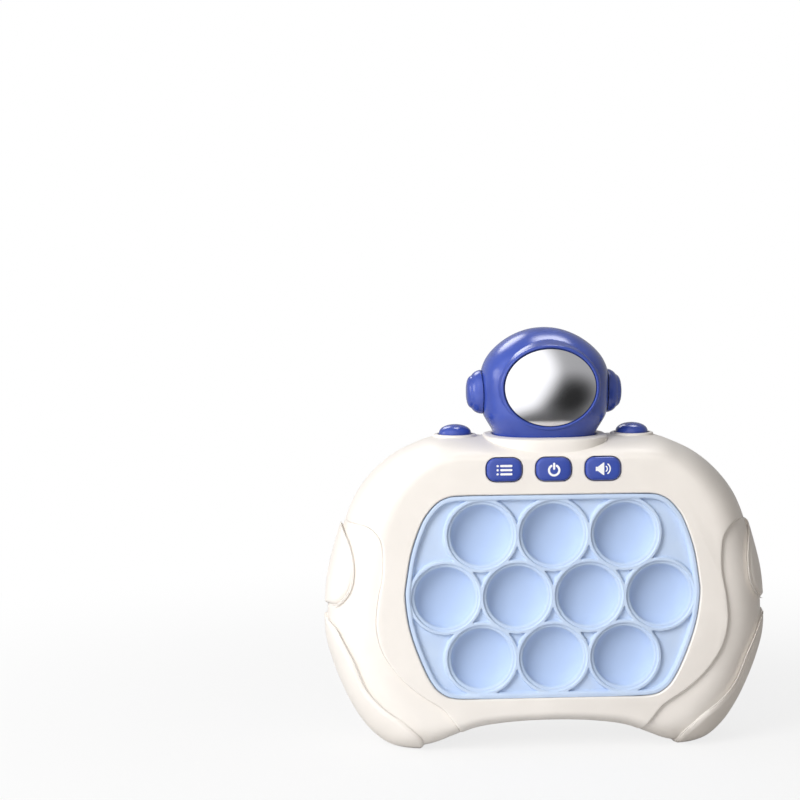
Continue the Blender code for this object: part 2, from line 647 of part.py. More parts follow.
back_cuts = [
    bay_block("bay_space", 0.0, BACK_Y + OVERRUN),
    prism("door_recess", door_outline(GAP), DOOR_Y - GAP, BACK_Y + OVERRUN),
    tab_recess, tower_holes, grille,
    plate_prism("plate_space", GAP, PART_Y + GAP),
    block("ground", (-FAR, -FAR, -FAR), (FAR, FAR, 0)),
]
pad_sides = []
for shares in (UPPER_PAD_SHARES, LOWER_PAD_SHARES):
    inner_edge = side_curve(shares)
    closing = [Vector((FAR, inner_edge[-1].y)), Vector((FAR, inner_edge[0].y))]
    if shares is LOWER_PAD_SHARES:
        closing = [Vector((inner_edge[-1].x, -FAR)), Vector((FAR, -FAR)), Vector((FAR, inner_edge[0].y))]
    for side in (-1, 1):
        pad_sides.append(prism("pad", [(side * x, z) for x, z in inner_edge + closing], -FAR, FAR))
pads = pillow("pads", PAD_RISE, FRONT_HALF_DEPTH - GRIP_STEP + PAD_RISE, BACK_HALF_DEPTH + PAD_RISE)
keep_within(pads, merged("pad_sides", pad_sides))
back_shell = pillow("back_shell", 0.0, FRONT_HALF_DEPTH - GRIP_STEP, BACK_HALF_DEPTH, CREAM)
fuse(back_shell, *back_outer, pads)
cut(back_shell, back_room, *back_holes, *back_cuts)

# Silicone panel
FLANGE_MIDDLE_Y = SHEET_BACK_Y - SHEET_FLANGE_THICKNESS / 2
bubble_sheet = prism("bubble_sheet", grown(WINDOW, SHEET_FLANGE), INNER_FACE_Y + GAP, SHEET_BACK_Y, SILICONE)
sheet_body = prism("sheet_body", grown(WINDOW, -GAP), FACE_Y + SHEET_BORDER_DROP, FLANGE_MIDDLE_Y)
sheet_pocket = prism("sheet_pocket", grown(WINDOW, -SHEET_BORDER), FACE_Y - OVERRUN,
                     FACE_Y + SHEET_FLOOR_DROP)
cut(sheet_body, sheet_pocket)
fuse(bubble_sheet, sheet_body)
for index, (x, z) in enumerate(BUBBLE_PLACES, 1):
    fuse(bubble_sheet, rod(f"plateau_{index}", (x, 0, z), "Y", BUBBLE_PITCH / 2 + SHEET_PLATEAU,
                           BUBBLE_RIM_Y, FLANGE_MIDDLE_Y, count=BUBBLE_ROUND))
cut(bubble_sheet, rods_at("bubble_holes", BUBBLE_PLACES, BUBBLE_OUTER + GAP,
                          BUBBLE_RIM_Y - OVERRUN, SHEET_BACK_Y + OVERRUN, BUBBLE_ROUND))
sheet_frame = loft("sheet_frame", [[(x, y, z) for x, z in grown(WINDOW, growth)] for growth, y in (
    (SHEET_FLANGE, SHEET_BACK_Y + GAP), (SHEET_FLANGE, BOARD_Y - GAP),
    (-SHEET_BORDER / 2, BOARD_Y - GAP), (-SHEET_BORDER / 2, SHEET_BACK_Y + GAP))], WHITE, closed=True)

# Bubbles, pressed in
BUBBLE_PROFILE = [(share * BUBBLE_RADIUS, depth * BUBBLE_DEPTH) for share, depth in BUBBLE_SHARES]
BUBBLE_BACK = [(min(radius + BUBBLE_SKIN * share, BUBBLE_OUTER), depth + BUBBLE_SKIN)
               for (radius, depth), (share, _) in zip(BUBBLE_PROFILE, BUBBLE_SHARES)]
NUB_END = BOARD_Y - GAP - BUBBLE_RIM_Y
for index, (x, z) in enumerate(BUBBLE_PLACES, 1):
    profile = BUBBLE_PROFILE + [(BUBBLE_OUTER, 0.0), (BUBBLE_OUTER, BUBBLE_SKIN)] + BUBBLE_BACK[-2:0:-1] + [
        (BUBBLE_NUB_RADIUS, BUBBLE_DEPTH + BUBBLE_SKIN), (BUBBLE_NUB_RADIUS, NUB_END), (0.0, NUB_END)]
    bubble = turned(f"bubble_{index}", profile, (x, BUBBLE_RIM_Y, z), "Y", SILICONE, BUBBLE_ROUND)
    put_origin(bubble, (x, BUBBLE_RIM_Y, z))
    lamp_x = x + LAMP_OFFSET
    block(f"led_{index}", (lamp_x - LAMP_SIZE / 2, BOARD_Y - GAP - LAMP_HEIGHT, z - LAMP_SIZE / 2),
          (lamp_x + LAMP_SIZE / 2, BOARD_Y - GAP, z + LAMP_SIZE / 2), LAMP)

# Main board with its screws
main_board = prism("main_board", grown(WINDOW, SHEET_FLANGE), BOARD_Y, BOARD_Y + BOARD_THICKNESS, BOARD)
TONGUE_HALF_WIDTH = max(x for x, _ in BOARD_SCREWS) + BOARD_EDGE
fuse(main_board, block("board_tongue", (-TONGUE_HALF_WIDTH, BOARD_Y, PANEL_Z), (
    TONGUE_HALF_WIDTH, BOARD_Y + BOARD_THICKNESS, GUIDE_Z - 2 * GAP)))
cut(main_board, rods_at("board_holes", BOARD_SCREWS, SCREW_HOLE_RADIUS, BOARD_Y - OVERRUN, BOARD_Y + OVERRUN))


def screw(name, x, z, seat_y, reach):
    """A pan head screw driven towards -Y, its head behind the seat."""
    rounding = 2 * GAP
    profile = [(0.0, -reach), (SCREW_SHANK_RADIUS, -reach), (SCREW_SHANK_RADIUS, GAP),
               (SCREW_HEAD_RADIUS, GAP), (SCREW_HEAD_RADIUS, SCREW_HEAD - rounding),
               (SCREW_HEAD_RADIUS - rounding, SCREW_HEAD), (0.0, SCREW_HEAD)]
    return turned(name, profile, (x, seat_y, z), "Y", STEEL)


for index, (x, z) in enumerate(BOARD_SCREWS, 1):
    screw(f"board_screw_{index}", x, z, BOARD_Y + BOARD_THICKNESS, SCREW_REACH / 2)
for index, (x, z) in enumerate(CASE_SCREWS, 1):
    screw(f"case_screw_{index}", x, z, SCREW_SEAT_Y, SCREW_REACH)

# Three control keys and their contact mat
KEY_BACK_Y = INNER_FACE_Y + GAP + KEY_EAR_THICKNESS
KEY_FRONT_Y = FACE_Y - KEY_PROUD
KEY_MAT_Y = BOARD_Y - GAP - KEY_MAT_BASE - KEY_MAT_DOME
KEY_EAR_HALF_HEIGHT = KEY_STEM_RADIUS + 2 * GAP
for name, place in (("menu_key", -1), ("power_key", 0), ("sound_key", 1)):
    x = place * KEY_PITCH
    rings = []
    for inset, y in ((0.0, KEY_BACK_Y), (0.0, KEY_FRONT_Y + KEY_BEVEL), (KEY_BEVEL, KEY_FRONT_Y)):
        outline = rounded_rectangle(KEY_HALF_WIDTH - inset, KEY_HALF_HEIGHT - inset, KEY_CORNER - inset)
        rings.append([(corner.x, y, corner.y) for corner in moved_outline(outline, x, KEY_Z)])
    key = loft(name, rings, BLUE)
    ears = block(f"{name}_ears",
                 (x - KEY_HALF_WIDTH - KEY_EAR, INNER_FACE_Y + GAP, KEY_Z - KEY_EAR_HALF_HEIGHT),
                 (x + KEY_HALF_WIDTH + KEY_EAR, KEY_BACK_Y, KEY_Z + KEY_EAR_HALF_HEIGHT))
    stem = rod(f"{name}_stem", (x, 0, KEY_Z), "Y", KEY_STEM_RADIUS, KEY_BACK_Y - KEY_EAR_THICKNESS,
               KEY_MAT_Y - GAP - KEY_TRAVEL)
    fuse(key, ears, stem)
MAT_HALF_WIDTH = KEY_PITCH + KEY_HALF_WIDTH
MAT_DOME_RADIUS = KEY_MAT_HALF_HEIGHT - GAP
key_mat = block("key_mat", (-MAT_HALF_WIDTH, KEY_MAT_Y + KEY_MAT_DOME, KEY_Z - KEY_MAT_HALF_HEIGHT),
                (MAT_HALF_WIDTH, BOARD_Y - GAP, KEY_Z + KEY_MAT_HALF_HEIGHT), WHITE)
for place in (-1, 0, 1):
    fuse(key_mat, turned(f"mat_dome_{place:+d}", [
        (MAT_DOME_RADIUS, KEY_MAT_DOME + KEY_MAT_BASE / 2), (MAT_TIP_SHARE * KEY_STEM_RADIUS, 0.0)],
        (place * KEY_PITCH, KEY_MAT_Y, KEY_Z), "Y"))

# Helmet in two halves, with its visor, ear caps and plunger
HELMET_Z = PLATFORM_Z - HELMET_SINK
VISOR_Z = HELMET_Z + VISOR_RISE
EAR_Z = HELMET_Z + EAR_RISE
RIM_Y = PART_Y - HELMET_FRONT_DEPTH + VISOR_RIM_SET
VISOR_SEAT_Y = RIM_Y + VISOR_LEDGE
VISOR_EDGE_Y = VISOR_SEAT_Y - GAP - VISOR_EDGE
DISC_Z = HELMET_Z + PLUNGER_DISC_RISE


def helmet_form(name, growth, material=None):
    """The helmet's closed outer form, grown or shrunk. A shrunk form runs on below the helmet's mouth."""
    height = HELMET_HEIGHT + growth
    rings = [egg(share, growth, HELMET_Z + rise * height) for share, rise in HELMET_SHARES]
    if growth < 0:
        rings[0] = [(x, y, z - OVERRUN) for x, y, z in rings[0]]
    return loft(name, rings, material)


def visor_ring(growth, y, share=1.0):
    outline = ellipse(VISOR_HALF_WIDTH + growth, VISOR_HALF_HEIGHT + growth, 2 * ROUND)
    return [(x * share, y, VISOR_Z + z * share) for x, z in outline]


def visor_guide(name, growth, low_y, high_y):
    return loft(name, [visor_ring(growth, low_y), visor_ring(growth, high_y)])


helmet_room = helmet_form("helmet_room", -HELMET_WALL)
helmet_front = helmet_form("helmet_front", 0.0, BLUE)
fuse(helmet_front, visor_guide("visor_rim", VISOR_RIM, RIM_Y, RIM_Y + VISOR_RIM_DEPTH))
cut(helmet_front, helmet_room,
    visor_guide("visor_recess", GAP, RIM_Y - OVERRUN - VISOR_CROWN, VISOR_SEAT_Y),
    visor_guide("visor_opening", -VISOR_LEDGE, RIM_Y, PART_Y),
    block("behind_parting", (-FAR, PART_Y, -FAR), (FAR, FAR, FAR)))
helmet_back = helmet_form("helmet_back", 0.0, BLUE)
cut(helmet_back, helmet_room, block("before_parting", (-FAR, -FAR, -FAR), (FAR, PART_Y + GAP, FAR)))
visor_rings = [visor_ring(0.0, VISOR_EDGE_Y - VISOR_CROWN * rise, share) for share, rise in VISOR_SHARES]
visor = loft("visor", [visor_ring(0.0, VISOR_SEAT_Y - GAP)] + visor_rings, SILVER)
helmet_space = helmet_form("helmet_space", GAP)
ear_profile = [(EAR_RADIUS, -EAR_REACH)]
ear_profile += [(share * EAR_RADIUS, reach * EAR_REACH) for share, reach in EAR_SHARES]
for name, side in (("left_ear_cap", -1), ("right_ear_cap", 1)):
    ear = turned(name, [(radius, side * reach) for radius, reach in ear_profile],
                 (side * HELMET_HALF_WIDTH, PART_Y, EAR_Z), "X", BLUE, ROUND)
    cut(ear, helmet_space)
FLANGE_TOP_Z = GUIDE_Z - GAP
FLANGE_LOW_Z = FLANGE_TOP_Z - PLUNGER_FLANGE
head_plunger = turned("head_plunger", [
    (PLUNGER_STEM_RADIUS, STEM_END_Z), (PLUNGER_STEM_RADIUS, FLANGE_LOW_Z),
    (PLUNGER_FLANGE_RADIUS, FLANGE_LOW_Z), (PLUNGER_FLANGE_RADIUS, FLANGE_TOP_Z),
    (PLUNGER_STEM_RADIUS, FLANGE_TOP_Z),
    (PLUNGER_STEM_RADIUS, DISC_Z + PLUNGER_DISC / 2)], (0, PART_Y, 0), "Z", WHITE, ROUND)
fuse(head_plunger, loft("plunger_disc", [
    egg(BASE_SHARE, -HELMET_WALL - GAP, height) for height in (DISC_Z, DISC_Z + PLUNGER_DISC)]))
coil("head_spring", (0, PART_Y, WELL_FLOOR_Z + GAP), "Z", HEAD_SPRING_RADIUS, DISC_Z - WELL_FLOOR_Z - 2 * GAP)

# Shoulder buttons, switches and their board
SHOULDER_FLANGE_Z = GUIDE_Z - GAP - SHOULDER_FLANGE
SHOULDER_STEM_RADIUS = SWITCH_PIN_RADIUS + 2 * GAP
SHOULDER_FLANGE_RADIUS = SHOULDER_DOME_RADIUS + SHOULDER_FLANGE
DOME_PROFILE = [(share * SHOULDER_DOME_RADIUS, PLATFORM_Z + rise * SHOULDER_DOME_HEIGHT)
                for share, rise in DOME_SHARES]
for name, side in (("left_shoulder", -1), ("right_shoulder", 1)):
    profile = [(SHOULDER_STEM_RADIUS, SHOULDER_STEM_END_Z), (SHOULDER_STEM_RADIUS, SHOULDER_FLANGE_Z),
               (SHOULDER_FLANGE_RADIUS, SHOULDER_FLANGE_Z), (SHOULDER_FLANGE_RADIUS, GUIDE_Z - GAP),
               (SHOULDER_DOME_RADIUS, GUIDE_Z - GAP)] + DOME_PROFILE
    button = turned(f"{name}_button", profile, (side * SHOULDER_X, PART_Y, 0), "Z", BLUE, ROUND)
    put_origin(button, (side * SHOULDER_X, PART_Y, PLATFORM_Z))
    coil(f"{name}_spring", (side * SHOULDER_X, PART_Y, TOP_BOARD_Z + GAP), "Z", SHOULDER_SPRING_RADIUS,
         SHOULDER_FLANGE_Z - TOP_BOARD_Z - 2 * GAP)
SWITCH_LOW_Z = SWITCH_TOP_Z - SWITCH_HEIGHT
for name, place in (("left_shoulder_switch", -1), ("head_switch", 0), ("right_shoulder_switch", 1)):
    x = place * SHOULDER_X
    switch = block(name, (x - SWITCH_SIZE / 2, PART_Y - SWITCH_SIZE / 2, SWITCH_LOW_Z),
                   (x + SWITCH_SIZE / 2, PART_Y + SWITCH_SIZE / 2, SWITCH_TOP_Z), BLACK)
    fuse(switch, rod(f"{name}_pin", (x, PART_Y, 0), "Z", SWITCH_PIN_RADIUS,
                     SWITCH_LOW_Z + SWITCH_PIN, SWITCH_TOP_Z + SWITCH_PIN))
top_board = block("top_board",
                  (-TOP_BOARD_HALF_LENGTH, PART_Y - TOP_BOARD_DEPTH / 2, TOP_BOARD_Z - BOARD_THICKNESS),
                  (TOP_BOARD_HALF_LENGTH, PART_Y + TOP_BOARD_DEPTH / 2, TOP_BOARD_Z), BOARD)

# Sounder
SPEAKER_REAR_Y = INNER_BACK_Y - SPEAKER_DEPTH
turned("speaker", [
    (SPEAKER_RADIUS / 2, SPEAKER_REAR_Y - SPEAKER_MAGNET), (SPEAKER_RADIUS / 2, SPEAKER_REAR_Y),
    (SPEAKER_RADIUS, SPEAKER_REAR_Y), (SPEAKER_RADIUS, INNER_BACK_Y - GAP)],
    (0, 0, SPEAKER_Z), "Y", BLACK, ROUND)

# Cells with their contacts
CELL_Y = BAY_FLOOR_Y + GAP + CELL_RADIUS
CELL_PITCH = 2 * CELL_RADIUS + CELL_SPACE
PLATE_X = BAY_HALF_LENGTH - GAP - CONTACT_PLATE
for index in range(CELL_COUNT):
    side = 1 if index % 2 == 0 else -1
    cell_z = BAY_Z + ((CELL_COUNT - 1) / 2 - index) * CELL_PITCH
    tip = PLATE_X - GAP if side > 0 else BAY_HALF_LENGTH - GAP
    shoulder = tip - CELL_TIP
    profile = [(CELL_RADIUS, shoulder - CELL_LENGTH), (CELL_RADIUS, shoulder),
               (CELL_TIP_RADIUS, shoulder), (CELL_TIP_RADIUS, tip)]
    turned(f"battery_cell_{index + 1}", [(radius, side * along) for radius, along in profile],
           (0, CELL_Y, cell_z), "X", CELL, ROUND)
    spring_x = GAP - BAY_HALF_LENGTH if side > 0 else PLATE_X - GAP - CONTACT_SPRING_LENGTH
    coil(f"contact_spring_{index + 1}", (spring_x, CELL_Y, cell_z), "X", CONTACT_SPRING_RADIUS,
         CONTACT_SPRING_LENGTH)
block("contact_plate", (PLATE_X, CELL_Y - CELL_RADIUS / 2, BAY_Z - CELL_RADIUS),
      (PLATE_X + CONTACT_PLATE, CELL_Y + CELL_RADIUS / 2, BAY_Z + CELL_PITCH + CELL_RADIUS), STEEL)

# Battery door with its screw
DOOR_SEAT_Y = BACK_Y - SCREW_HEAD - GAP
battery_door = prism("battery_door", door_outline(0.0), DOOR_Y, BACK_Y, CREAM)
fuse(battery_door, rod("tab_disc", (0, 0, TAB_Z), "Y", TAB_RECESS_RADIUS - GAP, DOOR_Y - TAB_BOSS,
                       BACK_Y - GAP, count=ROUND))
cut(battery_door, turned("tab_hole", [
    (SCREW_HOLE_RADIUS, DOOR_Y - OVERRUN), (SCREW_HOLE_RADIUS, DOOR_SEAT_Y),
    (SCREW_HEAD_RADIUS + GAP, DOOR_SEAT_Y), (SCREW_HEAD_RADIUS + GAP, BACK_Y + OVERRUN)], (0, 0, TAB_Z), "Y"))
screw("door_screw", 0.0, TAB_Z, DOOR_SEAT_Y, DOOR_SCREW_LENGTH - WALL + DOOR_THICKNESS - SCREW_HEAD - 2 * GAP)
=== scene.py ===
"""Looks of the handheld electronic bubble pop game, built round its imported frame."""

import json
import math

import bmesh
import bpy
import numpy
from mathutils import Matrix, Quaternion, Vector
from mathutils.bvhtree import BVHTree

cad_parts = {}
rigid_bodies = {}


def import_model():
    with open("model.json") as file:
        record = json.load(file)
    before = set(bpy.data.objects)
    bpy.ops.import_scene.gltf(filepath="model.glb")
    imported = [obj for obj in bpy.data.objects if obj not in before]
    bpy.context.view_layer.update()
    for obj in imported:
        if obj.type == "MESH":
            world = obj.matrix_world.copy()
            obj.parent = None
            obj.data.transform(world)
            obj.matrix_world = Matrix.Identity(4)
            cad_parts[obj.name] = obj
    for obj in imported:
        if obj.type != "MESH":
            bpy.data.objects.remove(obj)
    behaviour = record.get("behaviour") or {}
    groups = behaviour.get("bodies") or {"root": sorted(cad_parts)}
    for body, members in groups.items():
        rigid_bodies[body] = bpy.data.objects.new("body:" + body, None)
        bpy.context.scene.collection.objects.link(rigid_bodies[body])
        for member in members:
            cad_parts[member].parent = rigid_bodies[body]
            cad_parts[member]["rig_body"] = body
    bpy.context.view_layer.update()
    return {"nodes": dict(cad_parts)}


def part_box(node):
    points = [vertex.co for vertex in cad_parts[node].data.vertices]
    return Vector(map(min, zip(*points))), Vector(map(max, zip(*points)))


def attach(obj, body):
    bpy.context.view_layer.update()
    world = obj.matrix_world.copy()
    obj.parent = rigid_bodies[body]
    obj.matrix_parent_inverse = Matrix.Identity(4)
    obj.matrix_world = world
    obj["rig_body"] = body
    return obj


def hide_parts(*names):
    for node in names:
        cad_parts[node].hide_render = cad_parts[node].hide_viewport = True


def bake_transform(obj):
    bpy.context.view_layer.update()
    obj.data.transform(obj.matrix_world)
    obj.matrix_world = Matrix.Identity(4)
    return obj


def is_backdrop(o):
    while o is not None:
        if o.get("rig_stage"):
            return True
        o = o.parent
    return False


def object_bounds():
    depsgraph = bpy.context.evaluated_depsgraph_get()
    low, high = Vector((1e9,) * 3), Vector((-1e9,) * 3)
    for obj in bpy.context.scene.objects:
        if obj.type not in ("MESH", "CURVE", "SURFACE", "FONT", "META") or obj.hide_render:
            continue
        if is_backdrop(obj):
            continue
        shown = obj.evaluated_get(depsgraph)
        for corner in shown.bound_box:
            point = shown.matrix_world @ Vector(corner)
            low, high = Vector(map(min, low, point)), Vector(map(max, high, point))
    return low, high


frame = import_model()
scene = bpy.context.scene
scene.view_settings.view_transform = "Standard"

# Camera. It looks at the toy from a little to its left and from above, and aims up and to the left
# of the panel, so that the toy lies low and to the right in the picture.
PANEL_MIDDLE = Vector((0.0, -0.024, 0.0621))
CAMERA_AZIMUTH, CAMERA_ELEVATION = math.radians(-8.13), math.radians(11.0)
CAMERA_DISTANCE = 0.7112
AIM_LEFT, AIM_UP = 0.0592, 0.0773
CAMERA_ROLL = math.radians(-0.39)
camera_data = bpy.data.cameras.new("camera")
camera_data.lens, camera_data.sensor_width = 81.74, 36.0
camera_data.clip_start, camera_data.clip_end = 0.05, 20.0
camera = bpy.data.objects.new("camera", camera_data)
scene.collection.objects.link(camera)
scene.camera = camera
towards_camera = Vector((math.sin(CAMERA_AZIMUTH) * math.cos(CAMERA_ELEVATION),
                         -math.cos(CAMERA_AZIMUTH) * math.cos(CAMERA_ELEVATION),
                         math.sin(CAMERA_ELEVATION)))
camera.location = PANEL_MIDDLE + CAMERA_DISTANCE * towards_camera
aim = PANEL_MIDDLE + Vector((-AIM_LEFT, 0.0, AIM_UP)) - camera.location
camera.rotation_mode = "QUATERNION"
camera.rotation_quaternion = aim.to_track_quat("-Z", "Y") @ Quaternion((0.0, 0.0, 1.0), CAMERA_ROLL)


# Finishes. A socket of a material's node tree that takes plain arithmetic, so that a finish reads
# as a formula of the place on the piece.
class Socket:
    def __init__(self, tree, socket):
        self.tree, self.socket = tree, socket

    def node(self, kind, inputs=None, output=0, **settings):
        made = self.tree.nodes.new(kind)
        for name, value in settings.items():
            setattr(made, name, value)
        for name, value in (inputs or {}).items():
            if isinstance(value, Socket):
                self.tree.links.new(value.socket, made.inputs[name])
            else:
                made.inputs[name].default_value = value
        return Socket(self.tree, made.outputs[output])

    def reckon(self, operation, first, second=0.0):
        return self.node("ShaderNodeMath", {0: first, 1: second}, operation=operation)

    def __add__(self, other):
        return self.reckon("ADD", self, other)

    def __sub__(self, other):
        return self.reckon("SUBTRACT", self, other)

    def __rsub__(self, other):
        return self.reckon("SUBTRACT", other, self)

    def __mul__(self, other):
        return self.reckon("MULTIPLY", self, other)

    __radd__, __rmul__ = __add__, __mul__

    def axis(self, letter):
        return self.node("ShaderNodeSeparateXYZ", {0: self}, output=letter)

    def within(self, low, high, out_low=0.0, out_high=1.0):
        """Map a range smoothly onto another."""
        return self.node("ShaderNodeMapRange", {
            "Value": self, "From Min": low, "From Max": high, "To Min": out_low, "To Max": out_high},
            interpolation_type="SMOOTHSTEP")

    def noise(self, size, detail=2.0, roughness=0.5):
        """Cloudy noise whose patches are about the given size in metres."""
        return self.node("ShaderNodeTexNoise", {
            "Vector": self, "Scale": 1.0 / size, "Detail": detail, "Roughness": roughness})

    def blend(self, first, second):
        """Mix two colours by this factor."""
        return self.node("ShaderNodeMix", {0: self, 6: first, 7: second}, output=2, data_type="RGBA")

    def bump(self, height, strength=1.0, normal=None):
        """Raise the surface by this socket times a height in metres."""
        inputs = {"Height": self, "Distance": height, "Strength": strength}
        if normal:
            inputs["Normal"] = normal
        return self.node("ShaderNodeBump", inputs)


def colour(red, green, blue):
    """A linear colour from the levels that a picture shows, 0 to 255."""
    return tuple((level / 255 / 12.92) if level <= 10 else ((level / 255 + 0.055) / 1.055) ** 2.4
                 for level in (red, green, blue)) + (1.0,)


def new_finish(name, base, roughness, **sockets):
    """A material with its constants set, and the places on the piece to reckon with."""
    material = bpy.data.materials.new(name)
    material.use_nodes = True
    tree = material.node_tree
    shader = tree.nodes["Principled BSDF"]
    shader.inputs["Base Color"].default_value = base
    shader.inputs["Roughness"].default_value = roughness
    for socket, value in sockets.items():
        shader.inputs[socket.replace("_", " ")].default_value = value
    material.diffuse_color = base
    place = Socket(tree, tree.nodes.new("ShaderNodeTexCoord").outputs["Object"])
    return material, place, lambda socket, value: tree.links.new(value.socket, shader.inputs[socket])


# Studio. A large softbox stands to the left and above, a weak one fills from the right, and the
# room is brighter on the left and a little warm on the right. Gloss mirrors a white wall on the
# left, a dark corner on the lower right, and small lamps behind the helmet, over it and at its left.
WHITE, WARM_SHADE = (1.0, 1.0, 1.0, 1.0), (1.0, 0.92, 0.84, 1.0)
WHITE_WALL, DARK_CORNER = (-0.677, -0.701, 0.225), (0.45, -0.85, -0.28)
MIRRORED_LAMPS = (((-0.28, 0.72, 0.64), 8, 14, 5.0), ((0.17, 0.33, 0.93), 7, 14, 8.0),
                  ((-0.97, 0.10, 0.20), 9, 15, 3.0))


def softbox(name, place, target, size, power):
    lamp = bpy.data.lights.new(name, "AREA")
    lamp.shape, lamp.size, lamp.size_y, lamp.energy = "RECTANGLE", size[0], size[1], power
    body = bpy.data.objects.new(name, lamp)
    scene.collection.objects.link(body)
    body.location = place
    body.rotation_mode = "QUATERNION"
    body.rotation_quaternion = (Vector(target) - Vector(place)).to_track_quat("-Z", "Y")
    body.visible_glossy = False


softbox("key_softbox", (-0.80, -0.75, 0.70), (0.0, 0.0, 0.07), (0.55, 0.75), 13.3)
softbox("fill_softbox", (0.60, -1.10, 0.75), (0.0, 0.0, 0.07), (0.70, 0.50), 0.5)
world = bpy.data.worlds.new("studio")
scene.world = world
world.use_nodes = True
room = world.node_tree
direction = Socket(room, room.nodes.new("ShaderNodeTexCoord").outputs["Generated"])
across, up = direction.axis("X"), direction.axis("Z")
brightness = (up * 0.55 - across * 0.75).within(-0.65, 0.75)
side_light = brightness * 0.44 + 0.12


def patch(way, inner, outer, strength):
    """A round patch of the room, from a degree of full strength to one where it ends."""
    close = direction.node("ShaderNodeVectorMath", {0: direction, 1: Vector(way).normalized()},
                           output="Value", operation="DOT_PRODUCT")
    return close.within(math.cos(math.radians(outer)), math.cos(math.radians(inner)), 0.0, strength)


mirrored = 0.44 * (1.0 - patch(DARK_CORNER, 8, 38, 0.96)) * up.within(-0.80, -0.40, 0.20, 1.0)
mirrored = mirrored + patch(WHITE_WALL, 45, 65, 0.95)
for lamp in MIRRORED_LAMPS:
    mirrored = mirrored + patch(*lamp)
ray = room.nodes.new("ShaderNodeLightPath")
seen, glossy = Socket(room, ray.outputs["Is Camera Ray"]), Socket(room, ray.outputs["Is Glossy Ray"])
lit = glossy * mirrored + (1.0 - glossy) * side_light
room.links.new((seen + (1.0 - seen) * lit).socket, room.nodes["Background"].inputs["Strength"])
warm = (1.0 - seen) * (1.0 - glossy) * brightness.within(0.0, 0.5, 1.0, 0.0)
tinted = warm.blend(WHITE, WARM_SHADE)
room.links.new(tinted.socket, room.nodes["Background"].inputs["Color"])

# Floor. A wide plain table, white far off, which takes the toy's soft shadow near its feet. It
# throws a little less light up on the right, where the toy is in shade.
PALE, DULL = colour(228, 228, 228), colour(192, 186, 180)
bpy.ops.object.select_all(action="DESELECT")
bpy.ops.mesh.primitive_plane_add(size=6.0, location=(0.0, 0.0, 0.0))
floor = bpy.context.object
floor.name = "table"
floor_finish, place, link = new_finish("pale_table", PALE, 0.9)
away = place.node("ShaderNodeVectorMath", {0: place}, output="Value", operation="LENGTH")
tree = floor_finish.node_tree
glow = tree.nodes.new("ShaderNodeEmission")
mixed = tree.nodes.new("ShaderNodeMixShader")
seen = Socket(tree, tree.nodes.new("ShaderNodeLightPath").outputs["Is Camera Ray"])
link("Base Color", (place.axis("X").within(0.0, 0.12) * (1.0 - seen)).blend(PALE, DULL))
tree.links.new((seen * away.within(0.10, 0.42, 0.80, 1.0)).socket, mixed.inputs[0])
tree.links.new(tree.nodes["Principled BSDF"].outputs[0], mixed.inputs[1])
tree.links.new(glow.outputs[0], mixed.inputs[2])
tree.links.new(mixed.outputs[0], tree.nodes["Material Output"].inputs["Surface"])
floor.data.materials.append(floor_finish)
floor.visible_glossy = False
floor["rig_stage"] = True

# Case. Two moulded halves of cream ABS with a fine satin grain. The front half is the raised plate
# round the panel, and the back half wraps round to the front as the two grips with their relief.
# The outline's soft corners can't be drawn with edit-mode tools, so both are skinned from sections.
FACE_Y, PART_Y, BACK_Y = -0.024, 0.005, 0.025
GAP, WALL = 0.0003, 0.0022
FRONT_DEPTH, FRONT_ROOM_DEPTH, BACK_DEPTH = 0.029, 0.0268, 0.020
GRIP_STEP, PAD_RISE = 0.0016, 0.0013
PANEL_Z, TOP_Z, PLATFORM_Z = 0.062099, 0.122348, 0.123198
CASE_HALF_WIDTH, UPPER_HEIGHT, LOWER_HEIGHT = 0.08705, 0.060249, 0.063099
WINDOW_HALF_WIDTH, WINDOW_HALF_HEIGHT = 0.05775, 0.039999
FAR, PAST = 0.2, 0.004
UPPER_CASE = ((0.0, 1.0), (0.25, 1.0), (0.48, 1.0), (0.605, 0.946), (0.708, 0.868), (0.797, 0.755),
              (0.866, 0.622), (0.914, 0.465), (0.953, 0.29), (0.986, 0.10))
LOWER_CASE = ((1.0, 0.095), (0.998, 0.285), (0.970, 0.444), (0.927, 0.602), (0.877, 0.745),
              (0.814, 0.872), (0.734, 0.963), (0.626, 1.0), (0.545, 0.985), (0.459, 0.938),
              (0.344, 0.876), (0.18, 0.842), (0.0, 0.832))
UPPER_FACE = ((0.0, 0.88), (0.24, 0.88), (0.44, 0.872), (0.54, 0.82), (0.615, 0.735), (0.67, 0.625),
              (0.71, 0.505), (0.735, 0.375), (0.748, 0.235), (0.757, 0.08))
LOWER_FACE = ((0.760, 0.095), (0.752, 0.255), (0.725, 0.40), (0.685, 0.53), (0.64, 0.63),
              (0.60, 0.71), (0.56, 0.765), (0.50, 0.785), (0.445, 0.778), (0.385, 0.758),
              (0.30, 0.735), (0.16, 0.722), (0.0, 0.718))
WINDOW_SIDE = ((0.0, 1.0), (0.35, 1.0), (0.60, 1.0), (0.70, 0.988), (0.775, 0.94), (0.84, 0.845),
               (0.895, 0.71), (0.957, 0.45), (0.992, 0.16), (1.0, 0.0), (0.975, -0.27), (0.918, -0.54),
               (0.835, -0.81), (0.755, -0.945), (0.64, -1.0), (0.35, -1.0), (0.0, -1.0))
PLATE_SIDE = ((0.925, 0.46), (0.835, 0.462), (0.785, 0.41), (0.763, 0.33), (0.761, 0.16),
              (0.785, -0.03), (0.792, -0.175), (0.774, -0.30), (0.735, -0.405), (0.671, -0.515),
              (0.593, -0.605), (0.501, -0.69), (0.455, -0.765), (0.420, -0.84), (0.395, -0.93))
UPPER_PAD = ((0.935, 0.425), (0.905, 0.33), (0.891, 0.215), (0.898, 0.09), (0.925, 0.0), (0.962, -0.06),
             (1.0, -0.08))
